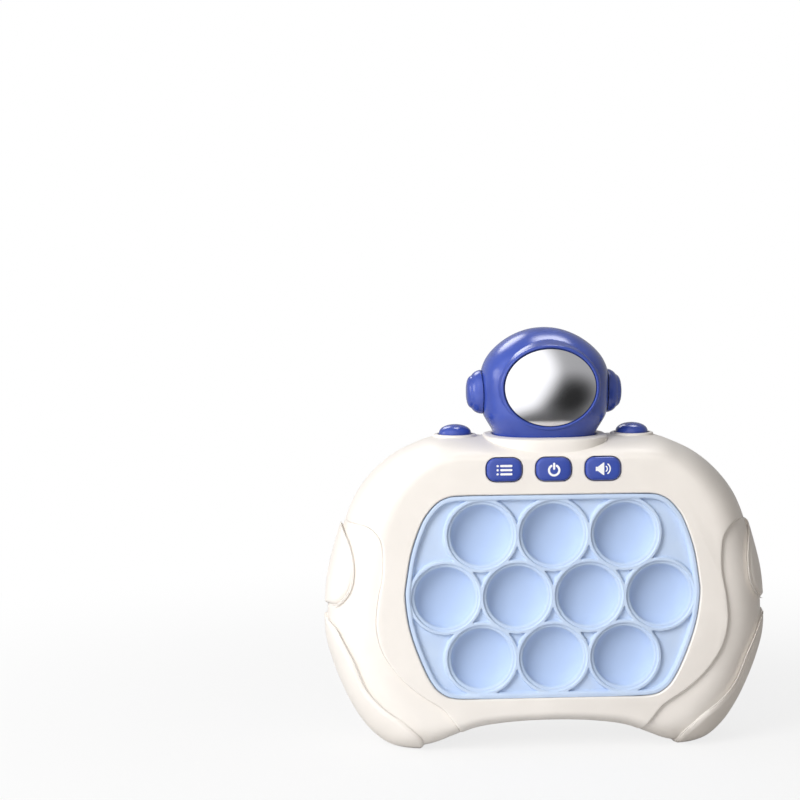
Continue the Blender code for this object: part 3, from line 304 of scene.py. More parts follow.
LOWER_PAD = ((1.0, -0.175), (0.968, -0.21), (0.94, -0.278), (0.889, -0.412), (0.841, -0.57),
             (0.768, -0.682), (0.672, -0.777), (0.593, -0.88), (0.575, -0.95), (0.575, -1.0))


def smooth_line(points, steps, closed=True):
    """A smooth line of (across, up) points that passes through the given ones."""
    points = [Vector(point) for point in points]
    spans = len(points) if closed else len(points) - 1
    line = []
    for span in range(spans):
        if closed:
            before, start, end, after = (points[(span + shift) % len(points)]
                                         for shift in (-1, 0, 1, 2))
        else:
            start, end = points[span], points[span + 1]
            before = points[span - 1] if span else start
            after = points[span + 2] if span + 2 < len(points) else end
        for step in range(steps):
            t = step / steps
            line.append(0.5 * (2 * start + (end - before) * t
                               + (2 * before - 5 * start + 4 * end - after) * t ** 2
                               + (3 * start - before - 3 * end + after) * t ** 3))
    return line if closed else line + [points[-1]]


def both_sides(half):
    return half + [Vector((-point[0], point[1])) for point in reversed(half[1:-1])]


def placed(shares, width, upper, lower):
    return [Vector((x * width, PANEL_Z + z * (upper if z > 0 else lower))) for x, z in shares]


def round_case(upper_shares, lower_shares):
    half = placed(upper_shares, CASE_HALF_WIDTH, UPPER_HEIGHT, UPPER_HEIGHT)
    half += placed([(x, -z) for x, z in lower_shares], CASE_HALF_WIDTH, UPPER_HEIGHT, LOWER_HEIGHT)
    return smooth_line(both_sides(half), 7)


def across_case(shares):
    return smooth_line(placed(shares, CASE_HALF_WIDTH, UPPER_HEIGHT, LOWER_HEIGHT), 8, closed=False)


def offset(outline, distance):
    """Move a clockwise outline outwards."""
    moved = []
    for index, point in enumerate(outline):
        along = (outline[(index + 1) % len(outline)] - outline[index - 1]).normalized()
        moved.append(point + Vector((-along.y, along.x)) * distance)
    return moved


def meshed(name, points, faces):
    """A body of its own mesh, with the faces turned outwards."""
    mesh = bpy.data.meshes.new(name)
    mesh.from_pydata(points, [], faces)
    shape = bmesh.new()
    shape.from_mesh(mesh)
    bmesh.ops.recalc_face_normals(shape, faces=shape.faces)
    shape.to_mesh(mesh)
    shape.free()
    body = bpy.data.objects.new(name, mesh)
    scene.collection.objects.link(body)
    return body


def skin(name, rings):
    """Close a body round rings of points that all have the same number."""
    count = len(rings[0])
    points = [point for ring in rings for point in ring]
    faces = []
    for start in range(0, len(points) - count, count):
        for index in range(count):
            following = (index + 1) % count
            faces.append((start + index, start + following, start + count + following,
                          start + count + index))
    faces += [tuple(range(count)), tuple(range(len(points) - count, len(points)))]
    return meshed(name, points, faces)


def upright(outline, y):
    return [(x, y, z) for x, z in outline]


def stacked(name, outline_of, steps):
    """A body of upright sections, each an outline of some growth at some depth."""
    return skin(name, [upright(outline_of(growth), y) for growth, y in steps])


def activate(body):
    bpy.ops.object.select_all(action="DESELECT")
    body.select_set(True)
    bpy.context.view_layer.objects.active = body


def carve(body, operation, *tools):
    """Apply boolean cuts or joins, and throw the tools away."""
    activate(body)
    for tool in tools:
        modifier = body.modifiers.new("carve", "BOOLEAN")
        modifier.operation, modifier.solver, modifier.object = operation, "EXACT", tool
        bpy.ops.object.modifier_apply(modifier=modifier.name)
        bpy.data.objects.remove(tool, do_unlink=True)
    return body


def smooth_finish(body, angle, *finishes):
    """Merge what booleans left double, shade by angle and give the finish."""
    activate(body)
    bpy.ops.object.mode_set(mode="EDIT")
    bpy.ops.mesh.select_all(action="SELECT")
    bpy.ops.mesh.remove_doubles(threshold=0.00001)
    bpy.ops.object.mode_set(mode="OBJECT")
    bpy.ops.object.shade_smooth_by_angle(angle=math.radians(angle))
    body.data.materials.clear()
    for finish in finishes:
        body.data.materials.append(finish)


CASE_EDGE, FACE_EDGE = round_case(UPPER_CASE, LOWER_CASE), round_case(UPPER_FACE, LOWER_FACE)
WINDOW_EDGE = smooth_line(both_sides(placed(WINDOW_SIDE, WINDOW_HALF_WIDTH, WINDOW_HALF_HEIGHT,
                                            WINDOW_HALF_HEIGHT)), 7)


def pillow_rings(growth, depth, direction, count=22):
    """Sections from the parting line to the flat face, along the soft edge."""
    rim = offset(CASE_EDGE, growth)
    rings = []
    for index in range(count):
        angle = math.pi / 2 * index / (count - 1)
        out, along = max(math.cos(angle), 0.0) ** (2 / 2.2), math.sin(angle) ** (2 / 2.2)
        rings.append([(flat.x + (edge.x - flat.x) * out, PART_Y + direction * depth * along,
                       flat.y + (edge.y - flat.y) * out) for edge, flat in zip(rim, FACE_EDGE)])
    return rings


def pillow(name, growth, front_depth, back_depth, count=22):
    return skin(name, pillow_rings(growth, front_depth, -1, count)[::-1]
                + pillow_rings(growth, back_depth, 1, count)[1:])


def plate_tool(name, growth, back_y):
    side = across_case(PLATE_SIDE)
    half = [Vector((0, FAR)), Vector((FAR, FAR)), Vector((FAR, side[0].y)), *side]
    half += [Vector((side[-1].x, -FAR)), Vector((0, -FAR))]
    outline = offset(both_sides(half), growth)
    return skin(name, [upright(outline, FACE_Y - FAR), upright(outline, back_y)])


def egg(width, front, back, height, count=120, power=2.6):
    """Level section of the helmet and its neck, squarer in front than behind."""
    ring = []
    for index in range(count):
        angle = math.tau * index / count
        across, along, depth = math.sin(angle), math.cos(angle), back
        if along > 0:
            across = math.copysign(abs(across) ** (2 / power), across)
            along, depth = along ** (2 / power), front
        ring.append((across * width, PART_Y - along * depth, height))
    return ring


def edge_strip(name, line, surface_of, front, outwards, profile):
    """A strip along a line on a body's surface. Cut away, it rounds the edge, and fades at its ends."""
    shape = bmesh.new()
    shape.from_mesh(surface_of.data)
    surface = BVHTree.FromBMesh(shape)
    shape.free()
    way = 1.0 if front else -1.0
    hits = []
    for x, z in line:
        place, normal, _, _ = surface.ray_cast(Vector((x, -way * FAR, z)), Vector((0.0, way, 0.0)))
        if place:
            hits.append((place, normal))
    fade, depth, rings = 0.007, profile[1][1] - min(above for _, above in profile), []
    for index, (place, normal) in enumerate(hits):
        along = (hits[min(index + 1, len(hits) - 1)][0] - hits[max(index - 1, 0)][0]).normalized()
        out = normal.cross(along).normalized() * way * outwards
        from_end = min((place - hits[0][0]).length, (place - hits[-1][0]).length)
        lift = depth * max(0.0, 1.0 - from_end / fade) ** 2
        rings.append([place + out * aside + normal * (above + lift) for aside, above in profile])
    return skin(name, rings)


# Neck and bosses, moulded in one with the case's two halves. The neck's soft apron runs out over
# the plate, and each shoulder button sits on a low round boss with its hole.
HELMET_HALF_WIDTH, HELMET_FRONT, HELMET_BACK, BASE_SHARE = 0.0254, 0.0234, 0.0190, 0.807
NECK_OUT, NECK_LEAD = 0.0040, 0.0040
WELL_FLOOR_Z, GUIDE_Z = 0.117198, 0.114998
SHOULDER_X, BOSS_RADIUS, DOME_RADIUS = 0.0356, 0.0087, 0.00685


def neck_section(growth, height, lead=0.0):
    return [(x, y - lead if y < PART_Y else y, z) for x, y, z in egg(
        BASE_SHARE * HELMET_HALF_WIDTH + growth, BASE_SHARE * HELMET_FRONT + growth,
        BASE_SHARE * HELMET_BACK + growth, height)]


def neck_forms():
    flare = ((0.0042, -0.0100, 0.0044), (0.0042, -0.0060, 0.0042), (0.0041, -0.0030, 0.0040),
             (NECK_OUT, -0.0008, NECK_LEAD), (0.0038, -0.0003, 0.0039), (0.0034, 0.0, 0.0036))
    forms = [skin("neck", [neck_section(growth, PLATFORM_Z + rise, lead)
                           for growth, rise, lead in flare])]
    boss = ((BOSS_RADIUS + 0.0006, TOP_Z - 0.0075), (BOSS_RADIUS, TOP_Z - 0.0010),
            (BOSS_RADIUS, PLATFORM_Z - 0.0007), (BOSS_RADIUS - 0.0002, PLATFORM_Z - 0.0002),
            (BOSS_RADIUS - 0.0007, PLATFORM_Z))
    angles = [math.tau * index / 72 for index in range(72)]
    for side in (-1, 1):
        forms.append(skin("boss", [[(side * SHOULDER_X + radius * math.cos(angle),
                                     PART_Y + radius * math.sin(angle), height) for angle in angles]
                                   for radius, height in boss]))
    return forms


def round_hole(name, x, z, radius, low, high, axis="Z"):
    """A round tool for a hole or a post, along Z or Y."""
    bpy.ops.object.select_all(action="DESELECT")
    turn = (0, 0, 0) if axis == "Z" else (math.pi / 2, 0, 0)
    middle = (x, PART_Y, (low + high) / 2) if axis == "Z" else (x, (low + high) / 2, z)
    bpy.ops.mesh.primitive_cylinder_add(vertices=72, radius=radius, depth=high - low,
                                        location=middle, rotation=turn)
    tool = bpy.context.object
    tool.name = name
    bpy.ops.object.transform_apply(location=True, rotation=True, scale=True)
    return tool


def neck_holes():
    holes = [skin("well", [neck_section(growth, height) for growth, height in (
                 (0.0004, WELL_FLOOR_Z), (0.0004, PLATFORM_Z - 0.0004), (0.0008, PLATFORM_Z + 0.0002),
                 (0.0008, PLATFORM_Z + PAST))]),
             round_hole("stem_hole", 0.0, 0.0, 0.0063, GUIDE_Z - PAST, PLATFORM_Z)]
    for side in (-1, 1):
        holes.append(round_hole("button_hole", side * SHOULDER_X, 0.0, DOME_RADIUS + GAP,
                                GUIDE_Z - PAST, PLATFORM_Z + PAST))
    return holes


def neck_walls():
    walls = [skin("neck_wall", [neck_section(0.0026, GUIDE_Z), neck_section(0.0026, PLATFORM_Z - GAP)])]
    for side in (-1, 1):
        walls.append(round_hole("boss_wall", side * SHOULDER_X, 0.0, BOSS_RADIUS - GAP,
                                GUIDE_Z, PLATFORM_Z - GAP))
    return walls


def rounded_box_outline(x, z, half_width, half_height, corner, steps=8):
    outline = []
    for sign_x, sign_z, start in ((1, 1, 90), (1, -1, 0), (-1, -1, -90), (-1, 1, -180)):
        middle = Vector((x + sign_x * (half_width - corner), z + sign_z * (half_height - corner)))
        for step in range(steps + 1):
            angle = math.radians(start - 90 * step / steps)
            outline.append(middle + corner * Vector((math.cos(angle), math.sin(angle))))
    return outline


# Cream plastic of both halves and the battery cover: ABS from a spark-eroded mould, so it has a
# fine grain, is a little rougher in places and is softly rounded at its edges.
cream, place, link = new_finish("cream_case_plastic", colour(243, 237, 230), 0.42,
                                Specular_IOR_Level=0.45)
clouds, grain = place.noise(0.02, 3.0), place.noise(0.00035, 3.0)
link("Base Color", clouds.within(0.35, 0.65).blend(colour(244, 238, 231), colour(240, 234, 227)))
link("Roughness", clouds * 0.10 + 0.34 + grain * 0.06)
rounded = place.node("ShaderNodeBevel", {"Radius": 0.0005}, samples=4)
link("Normal", grain.bump(0.00002, 0.5, rounded))

# Front half. A raised cream plate with a wall of even thickness behind it, moulded with the panel's
# window and three key holes, whose mouths are eased. Its long edges over the grips are rounded.
KEY_PITCH, KEY_Z = 0.01916, 0.111948
KEY_HALF_WIDTH, KEY_HALF_HEIGHT, KEY_CORNER = 0.00685, 0.00455, 0.0036
INNER_FACE_Y = FACE_Y + WALL
PLATE_ROUNDING = ((-0.0009, 0.0006), (-0.0009, 0.00001), (-0.00065, -0.00003), (-0.00042, -0.00011),
                  (-0.00022, -0.00026), (-0.00008, -0.00048), (0.0, -0.0008), (0.00003, -0.0011),
                  (0.0004, -0.0011), (0.0004, 0.0006))


def plate_body(name, growth, depth, count, behind):
    """The front half's closed form, which runs on behind the parting line."""
    rings = pillow_rings(growth, depth, -1, count)
    return skin(name, [[(x, y + behind, z) for x, y, z in rings[0]]] + rings)


def key_edge(column, growth):
    return rounded_box_outline(column * KEY_PITCH, KEY_Z, KEY_HALF_WIDTH + GAP + growth,
                               KEY_HALF_HEIGHT + GAP + growth, KEY_CORNER + GAP + growth)


front_shell = plate_body("front_plate", 0.0, FRONT_DEPTH, 22, 0.004)
carve(front_shell, "UNION", *neck_forms())
front_room = plate_body("front_room", -WALL, FRONT_ROOM_DEPTH, 10, 0.008)
carve(front_room, "DIFFERENCE", *neck_walls())
carve(front_shell, "DIFFERENCE", front_room, *neck_holes())
carve(front_shell, "DIFFERENCE", stacked("window", lambda growth: offset(WINDOW_EDGE, growth), (
    (0.0, INNER_FACE_Y + PAST), (0.0, FACE_Y + 0.0006), (0.0002, FACE_Y + 0.0002),
    (0.0006, FACE_Y - 0.0001), (0.0006, FACE_Y - PAST))))
for column in (-1, 0, 1):
    carve(front_shell, "DIFFERENCE", stacked("key_hole", lambda growth: key_edge(column, growth), (
        (0.0, INNER_FACE_Y + 0.0028), (0.0, FACE_Y + 0.0003), (0.0003, FACE_Y - 0.0001),
        (0.0003, FACE_Y - PAST))))
carve(front_shell, "INTERSECT", plate_tool("plate", 0.0, PART_Y))
front_shell.name = "case_front"
plate_face = pillow("plate_face", 0.0, FRONT_DEPTH, BACK_DEPTH)
for side in (-1, 1):
    plate_line = [(side * x, z) for x, z in across_case(PLATE_SIDE)]
    carve(front_shell, "DIFFERENCE", edge_strip("plate_rounding", plate_line, plate_face, True, side,
                                                PLATE_ROUNDING))
bpy.data.objects.remove(plate_face, do_unlink=True)
smooth_finish(front_shell, 32, cream)
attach(front_shell, "case")
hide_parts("front_shell")

# Back half. It wraps round to the front as the two grips with their raised pads, and is moulded with
# the battery bay and its door's seat, the speaker grille and the towers of the four case screws.
CELL_RADIUS, CELL_LENGTH, CELL_TIP, CELL_SPACE = 0.00725, 0.0490, 0.0015, 0.0006
SPRING_LENGTH, CONTACT_PLATE, BAY_WALL = 0.0056, 0.0005, 0.0016
BAY_HALF_LENGTH = (CELL_LENGTH + CELL_TIP + SPRING_LENGTH + CONTACT_PLATE + 4 * GAP) / 2
BAY_HALF_HEIGHT = 3 * (CELL_RADIUS + CELL_SPACE / 2)
BAY_Z = PANEL_Z + 0.0090
DOOR_Y = BACK_Y - 0.0020
BAY_FLOOR_Y = DOOR_Y - 2 * CELL_RADIUS - 2 * CELL_SPACE
DOOR_LEDGE, DOOR_TAB, TAB_HALF_WIDTH = 0.0022, 0.0064, 0.0052
TAB_Z = BAY_Z + BAY_HALF_HEIGHT + DOOR_LEDGE + DOOR_TAB / 2
SPEAKER_Z = PANEL_Z - 0.0310
SCREW_PLACES = [(side * x * CASE_HALF_WIDTH, PANEL_Z + z * height) for x, z, height in (
    (0.597, 0.705, UPPER_HEIGHT), (0.345, -0.745, LOWER_HEIGHT)) for side in (-1, 1)]
SCREW_SEAT_Y = PART_Y + WALL + PAST
SHANK_HOLE, HEAD_HOLE, TOWER_RADIUS = 0.0016, 0.0028, 0.0044


def box_tool(name, low, high):
    """A box from corner to corner, as a tool for carving."""
    bpy.ops.object.select_all(action="DESELECT")
    bpy.ops.mesh.primitive_cube_add(size=1.0, location=(Vector(low) + Vector(high)) / 2)
    tool = bpy.context.object
    tool.name, tool.scale = name, Vector(high) - Vector(low)
    bpy.ops.object.transform_apply(location=True, rotation=True, scale=True)
    return tool


def door_edge(growth, corner=0.0012):
    """Outline of the battery door with its tab, with small round corners."""
    width = BAY_HALF_LENGTH + DOOR_LEDGE - GAP + growth
    top = BAY_Z + BAY_HALF_HEIGHT + DOOR_LEDGE - GAP + growth
    low = BAY_Z - BAY_HALF_HEIGHT - DOOR_LEDGE + GAP - growth
    tab = TAB_HALF_WIDTH + growth
    corners = [Vector(point) for point in (
        (-tab, top + DOOR_TAB), (tab, top + DOOR_TAB), (tab, top), (width, top), (width, low),
        (-width, low), (-width, top), (-tab, top))]
    outline = []
    for index, point in enumerate(corners):
        before = (corners[index - 1] - point).normalized()
        after = (corners[(index + 1) % len(corners)] - point).normalized()
        middle = point + (before + after) * corner
        start, end = point + before * corner - middle, point + after * corner - middle
        for step in range(7):
            turn = math.radians(90 * step / 6)
            outline.append(middle + start * math.cos(turn) + end * math.sin(turn))
    return outline


def bay_box(name, growth, back_y):
    half_length, half_height = BAY_HALF_LENGTH + growth, BAY_HALF_HEIGHT + growth
    return box_tool(name, (-half_length, BAY_FLOOR_Y - growth, BAY_Z - half_height),
                    (half_length, back_y, BAY_Z + half_height))


GRIP_DEPTH = FRONT_DEPTH - GRIP_STEP
back_room = pillow("back_room", -WALL, GRIP_DEPTH - WALL, BACK_DEPTH - WALL, 10)
towers = [round_hole("tower", x, z, TOWER_RADIUS, PART_Y + GAP, BACK_Y, "Y")
          for x, z in SCREW_PLACES]
carve(back_room, "DIFFERENCE", *neck_walls(), *towers, bay_box("bay_walls", BAY_WALL, BACK_Y),
      stacked("door_walls", door_edge, ((GAP + BAY_WALL, DOOR_Y - 0.0026), (GAP + BAY_WALL, BACK_Y))),
      round_hole("tab_tower", 0.0, TAB_Z, TAB_HALF_WIDTH, DOOR_Y - 0.0085, BACK_Y, "Y"))
PADS = []
for shares in (UPPER_PAD, LOWER_PAD):
    inner = across_case(shares)
    closing = [Vector((FAR, inner[-1].y)), Vector((FAR, inner[0].y))]
    if shares is LOWER_PAD:
        closing = [Vector((inner[-1].x, -FAR)), Vector((FAR, -FAR)), Vector((FAR, inner[0].y))]
    for side in (-1, 1):
        PADS.append((side, [Vector((side * x, z)) for x, z in inner],
                     [Vector((side * x, z)) for x, z in closing]))
PAD_ROUNDING = ((-0.0023, 0.0023), (-0.0023, 0.00132), (-0.0018, 0.00128), (-0.0013, 0.00116),
                (-0.0009, 0.00098), (-0.00055, 0.00074), (-0.00028, 0.00048), (-0.0001, 0.00022),
                (0.00002, 0.00003), (0.0005, 0.00005), (0.0005, 0.0023))
back_shell = pillow("case_back", 0.0, GRIP_DEPTH, BACK_DEPTH)
for _, inner, closing in PADS:
    pad = pillow("pad", PAD_RISE, GRIP_DEPTH + PAD_RISE, BACK_DEPTH + PAD_RISE)
    carve(pad, "INTERSECT", skin("pad_side", [upright(inner + closing, y) for y in (-FAR, FAR)]))
    carve(back_shell, "UNION", pad)
grip_face = pillow("grip_face", 0.0, GRIP_DEPTH, BACK_DEPTH)
for side, inner, _ in PADS:
    for front in (True, False):
        carve(back_shell, "DIFFERENCE", edge_strip("pad_rounding", inner, grip_face, front, -side,
                                                   PAD_ROUNDING))
bpy.data.objects.remove(grip_face, do_unlink=True)
carve(back_shell, "UNION", *neck_forms())
grille = []
for index in range(5):
    middle = SPEAKER_Z + (2 * index - 4) * 0.0016
    grille.append(stacked("slot", lambda growth: rounded_box_outline(
        0.0, middle, 0.0075 + growth, 0.0008 + growth, 0.00079 + growth, 6), (
            (0.0, BACK_Y - WALL - PAST), (0.0, BACK_Y - 0.0003), (0.0003, BACK_Y + 0.0001),
            (0.0003, BACK_Y + PAST))))
tower_holes = []
for x, z in SCREW_PLACES:
    tower_holes += [round_hole("shank_hole", x, z, SHANK_HOLE, PART_Y - PAST, SCREW_SEAT_Y + GAP, "Y"),
                    round_hole("head_hole", x, z, HEAD_HOLE, SCREW_SEAT_Y, BACK_Y + PAST, "Y")]
carve(back_shell, "DIFFERENCE", back_room, *neck_holes(), *grille, *tower_holes,
      bay_box("bay_space", 0.0, BACK_Y + PAST),
      stacked("door_seat", door_edge, ((GAP, DOOR_Y - GAP), (GAP, BACK_Y + PAST))),
      round_hole("tab_shank", 0.0, TAB_Z, SHANK_HOLE, DOOR_Y - 0.0063, DOOR_Y, "Y"),
      round_hole("tab_seat", 0.0, TAB_Z, 0.0041, DOOR_Y - 0.0013, BACK_Y, "Y"),
      plate_tool("plate_space", 0.00005, PART_Y + GAP),
      box_tool("ground", (-FAR, -FAR, -FAR), (FAR, FAR, 0.0)))
smooth_finish(back_shell, 32, cream)
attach(back_shell, "case")
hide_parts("back_shell")

# Silicone panel. One soft moulded sheet of light blue silicone: a rounded lip runs round the window,
# the ten bubbles stand on merged flat rings, and sunken pockets fill the space between the rings.
# Its relief can't be drawn with edit-mode tools, so it is a fine grid raised by a formula.
PITCH = 0.028
ROW_PITCH = PITCH * math.sqrt(0.75)
BUBBLE_PLACES = [((place - (count - 1) / 2) * PITCH, PANEL_Z + (1 - row) * ROW_PITCH)
                 for row, count in enumerate((3, 4, 3)) for place in range(count)]
LIP_DROP, RING_DROP, POCKET_DROP = 0.0004, 0.0009, 0.0024
LIP_WIDTH, RING_RADIUS, HOLE_RADIUS = 0.00175, 0.0144, 0.0134
SHEET_BACK_Y, FLANGE, FLANGE_FRONT_Y = FACE_Y + 0.0039, 0.0025, INNER_FACE_Y + GAP
RIM_Y, DISH_DEPTH = FACE_Y + RING_DROP, 0.0065

silicone, place, link = new_finish("light_blue_silicone", colour(196, 214, 241), 0.48,
                                   Specular_IOR_Level=0.4, Sheen_Weight=0.08, Sheen_Roughness=0.4)
clouds, fine = place.noise(0.012, 3.0), place.noise(0.0005, 2.0)
# Painted shade: the base colour turns a deeper, darker blue the further a point lies back from the
# panel's face, so the bubbles' dishes, and a little the sunken pockets, carry painted shade in their
# hollows.
painted_dish_shade = place.axis("Y").within(-0.0226, -0.0185)
pale = clouds.within(0.35, 0.65).blend(colour(202, 219, 243), colour(196, 214, 241))
link("Base Color", painted_dish_shade.blend(pale, colour(182, 203, 237)))
link("Roughness", clouds * 0.12 + 0.40 + fine * 0.05)
rounded = place.node("ShaderNodeBevel", {"Radius": 0.00015}, samples=4)
link("Normal", fine.bump(0.000012, 0.5, rounded))

sheet_edge = offset(WINDOW_EDGE, -GAP)
edge_points = numpy.array([tuple(point) for point in sheet_edge])
low_z, top_z = edge_points[:, 1].min(), edge_points[:, 1].max()
rows, columns = 270, 386
row_z = numpy.linspace(low_z, top_z, rows)
half_widths = []
for height in row_z:
    crossings = [x for x, z in edge_points if abs(z - height) < 1e-7]
    for (x0, z0), (x1, z1) in zip(edge_points, numpy.roll(edge_points, -1, axis=0)):
        if z0 != z1 and min(z0, z1) <= height <= max(z0, z1):
            crossings.append(x0 + (x1 - x0) * (height - z0) / (z1 - z0))
    half_widths.append(max(crossings))
grid_x = numpy.outer(half_widths, numpy.linspace(-1.0, 1.0, columns)).ravel()
grid_z = numpy.repeat(row_z, columns)
from_edge = numpy.full(grid_x.shape, 1.0)
for start, end in zip(edge_points, numpy.roll(edge_points, -1, axis=0)):
    span = end - start
    along = numpy.clip(((grid_x - start[0]) * span[0] + (grid_z - start[1]) * span[1])
                       / span.dot(span), 0.0, 1.0)
    from_edge = numpy.minimum(from_edge, numpy.hypot(grid_x - start[0] - along * span[0],
                                                     grid_z - start[1] - along * span[1]))
from_bubbles = [numpy.hypot(grid_x - x, grid_z - z) for x, z in BUBBLE_PLACES]


def ramp(value):
    value = numpy.clip(value, 0.0, 1.0)
    return value * value * (3.0 - 2.0 * value)


CORNER = 0.00022
closeness = numpy.exp(-(from_edge - LIP_WIDTH) / CORNER)
for distance in from_bubbles:
    closeness += numpy.exp(-(distance - RING_RADIUS) / CORNER)
into_pocket = -CORNER * numpy.log(closeness)
edge_round = numpy.clip(1.0 - from_edge / 0.0006, 0.0, 1.0)
depth = (LIP_DROP + (RING_DROP - LIP_DROP) * ramp((from_edge - LIP_WIDTH + 0.0003) / 0.0005)
         + (POCKET_DROP - RING_DROP) * ramp(into_pocket / 0.0004)
         + 0.0005 * (1.0 - numpy.sqrt(1.0 - edge_round ** 2)))
kept = numpy.min(from_bubbles, axis=0) >= HOLE_RADIUS

# The grid's faces over the bubbles' holes are left out. Its outer border is walked round to give the
# sheet the flange that the frame clamps, and each hole gets its wall from the front to the back.
shape = bmesh.new()
front_points = [shape.verts.new(point) for point in zip(grid_x, FACE_Y + depth, grid_z)]
front_faces = []
for row in range(rows - 1):
    for column in range(columns - 1):
        start = row * columns + column
        corners = (start, start + 1, start + columns + 1, start + columns)
        if all(kept[corner] for corner in corners):
            front_faces.append(shape.faces.new([front_points[corner] for corner in corners]))
bmesh.ops.delete(shape, geom=[vertex for vertex in shape.verts if not vertex.link_faces],
                 context="VERTS")


def on_border(point):
    return (min(math.hypot(point.x - x, point.z - z) for x, z in BUBBLE_PLACES) > HOLE_RADIUS + 0.0006
            or abs(point.z - low_z) < 1e-6 or abs(point.z - top_z) < 1e-6)


outer = [edge for edge in shape.edges
         if edge.is_boundary and all(on_border(vertex.co) for vertex in edge.verts)]
walk = [outer[0].verts[0]]
links = {}
for edge in outer:
    for first, second in (edge.verts, reversed(edge.verts)):
        links.setdefault(first, []).append(second)
while True:
    following = [vertex for vertex in links[walk[-1]] if len(walk) < 2 or vertex is not walk[-2]]
    if following[0] is walk[0]:
        break
    walk.append(following[0])
outward = []
for index, vertex in enumerate(walk):
    along = walk[(index + 1) % len(walk)].co - walk[index - 1].co
    outward.append(Vector((along.z, 0.0, -along.x)).normalized())
if sum(normal.dot(vertex.co - Vector((0, vertex.co.y, PANEL_Z)))
       for normal, vertex in zip(outward, walk)) < 0:
    outward = [-normal for normal in outward]
twins = {vertex: shape.verts.new((vertex.co.x, SHEET_BACK_Y, vertex.co.z))
         for vertex in list(shape.verts)}
for face in front_faces:
    shape.faces.new([twins[vertex] for vertex in reversed(face.verts)])
levels = ((0.0, FLANGE_FRONT_Y), (FLANGE, FLANGE_FRONT_Y), (FLANGE, SHEET_BACK_Y))
rings = [walk] + [[shape.verts.new((vertex.co.x + normal.x * out, y, vertex.co.z + normal.z * out))
                   for vertex, normal in zip(walk, outward)] for out, y in levels]
rings.append([twins[vertex] for vertex in walk])
for ring, following in zip(rings, rings[1:]):
    for index in range(len(walk)):
        after = (index + 1) % len(walk)
        shape.faces.new((ring[index], ring[after], following[after], following[index]))
for edge in [edge for edge in shape.edges if edge.is_boundary and edge.verts[0] in twins
             and edge.verts[1] in twins]:
    first, second = edge.verts
    shape.faces.new((first, second, twins[second], twins[first]))
bmesh.ops.recalc_face_normals(shape, faces=shape.faces)
sheet_mesh = bpy.data.meshes.new("silicone_sheet")
shape.to_mesh(sheet_mesh)
shape.free()
sheet = bpy.data.objects.new("silicone_sheet", sheet_mesh)
scene.collection.objects.link(sheet)
smooth_finish(sheet, 50, silicone)
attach(sheet, "case")
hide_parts("bubble_sheet")

# Bubbles. Each is a thin silicone dish that snaps through to a dome, pressed in as in the picture.
# A crisp little step and a flat ring run round it, and a nub behind it works its switch. Its skin
# is turned from a profile in mesh code, so that each pole closes in a single point.
SKIN_THICKNESS, NUB_RADIUS, NUB_END, DISH_ROUNDNESS = 0.00035, 0.0020, 0.0092, 2 / 2.35
dish = [(0.01375, -0.000015), (0.0135, -0.000015), (0.01338, 0.00006), (0.01332, 0.0002),
        (0.01327, 0.0007), (0.01318, 0.0009), (0.013, 0.00098), (0.0127, 0.00095),
        (0.01245, 0.00094), (0.01225, 0.00102), (0.01205, 0.00122), (0.01188, 0.00155)]
DISH_EDGE, DISH_TOP = dish[-1]
for step in range(1, 17):
    angle = math.pi / 2 * step / 17
    dish.append((DISH_EDGE * math.cos(angle) ** DISH_ROUNDNESS,
                 DISH_TOP + (DISH_DEPTH - DISH_TOP) * math.sin(angle) ** DISH_ROUNDNESS))
dish.append((0.0, DISH_DEPTH))
dish_back = [(0.01375, 0.0006), (0.0136, 0.0009)]
for (radius, level), after in zip(dish[1:-1], dish[2:]):
    along = Vector((after[0] - radius, after[1] - level)).normalized()
    behind = (radius + SKIN_THICKNESS * along.y, level - SKIN_THICKNESS * along.x)
    if NUB_RADIUS < behind[0] < 0.0133 and behind[1] > 0.0009:
        dish_back.append(behind)
dish_back += [(NUB_RADIUS, DISH_DEPTH + SKIN_THICKNESS), (NUB_RADIUS, NUB_END), (0.0, NUB_END)]


def turned(name, profile, centre, count):
    """Turn a profile of (radius, depth) round the Y axis, with its poles closed."""
    rings = []
    for radius, depth_there in profile:
        angles = [math.tau * index / count for index in range(count if radius else 1)]
        rings.append([Vector(centre) + Vector((radius * math.cos(angle), depth_there,
                                               radius * math.sin(angle))) for angle in angles])
    points = [point for ring in rings for point in ring]
    starts = [sum(len(ring) for ring in rings[:index]) for index in range(len(rings))]
    faces = []
    for first in range(len(rings) - 1):
        sizes = (len(rings[first]), len(rings[first + 1]))
        for index in range(max(sizes)):
            corners = [starts[first + step] + (index + turn) % sizes[step]
                       for step, turn in ((0, 0), (0, 1), (1, 1), (1, 0))]
            faces.append(list(dict.fromkeys(corners)))
    return meshed(name, points, faces)


for number, (x, z) in enumerate(BUBBLE_PLACES, 1):
    bubble = turned(f"bubble_skin_{number}", dish[::-1] + dish_back, (x, RIM_Y, z), 80)
    smooth_finish(bubble, 50, silicone)
    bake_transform(bubble)
    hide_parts(f"bubble_{number}")

# Blue plastic of the helmet, its ear caps, the keys and the domes: glossy moulded polystyrene, faintly
# uneven, with its edges just broken.
blue, place, link = new_finish("glossy_blue_plastic", colour(57, 80, 170), 0.22,
                               Specular_IOR_Level=0.5, Coat_Weight=0.25, Coat_Roughness=0.12)
clouds, ripple = place.noise(0.015, 3.0), place.noise(0.004, 2.0)
link("Base Color", clouds.within(0.35, 0.65).blend(colour(59, 82, 172), colour(53, 74, 162)))
link("Roughness", clouds * 0.10 + 0.19)
rounded = place.node("ShaderNodeBevel", {"Radius": 0.0004}, samples=4)
link("Normal", ripple.bump(0.00002, 0.5, rounded))

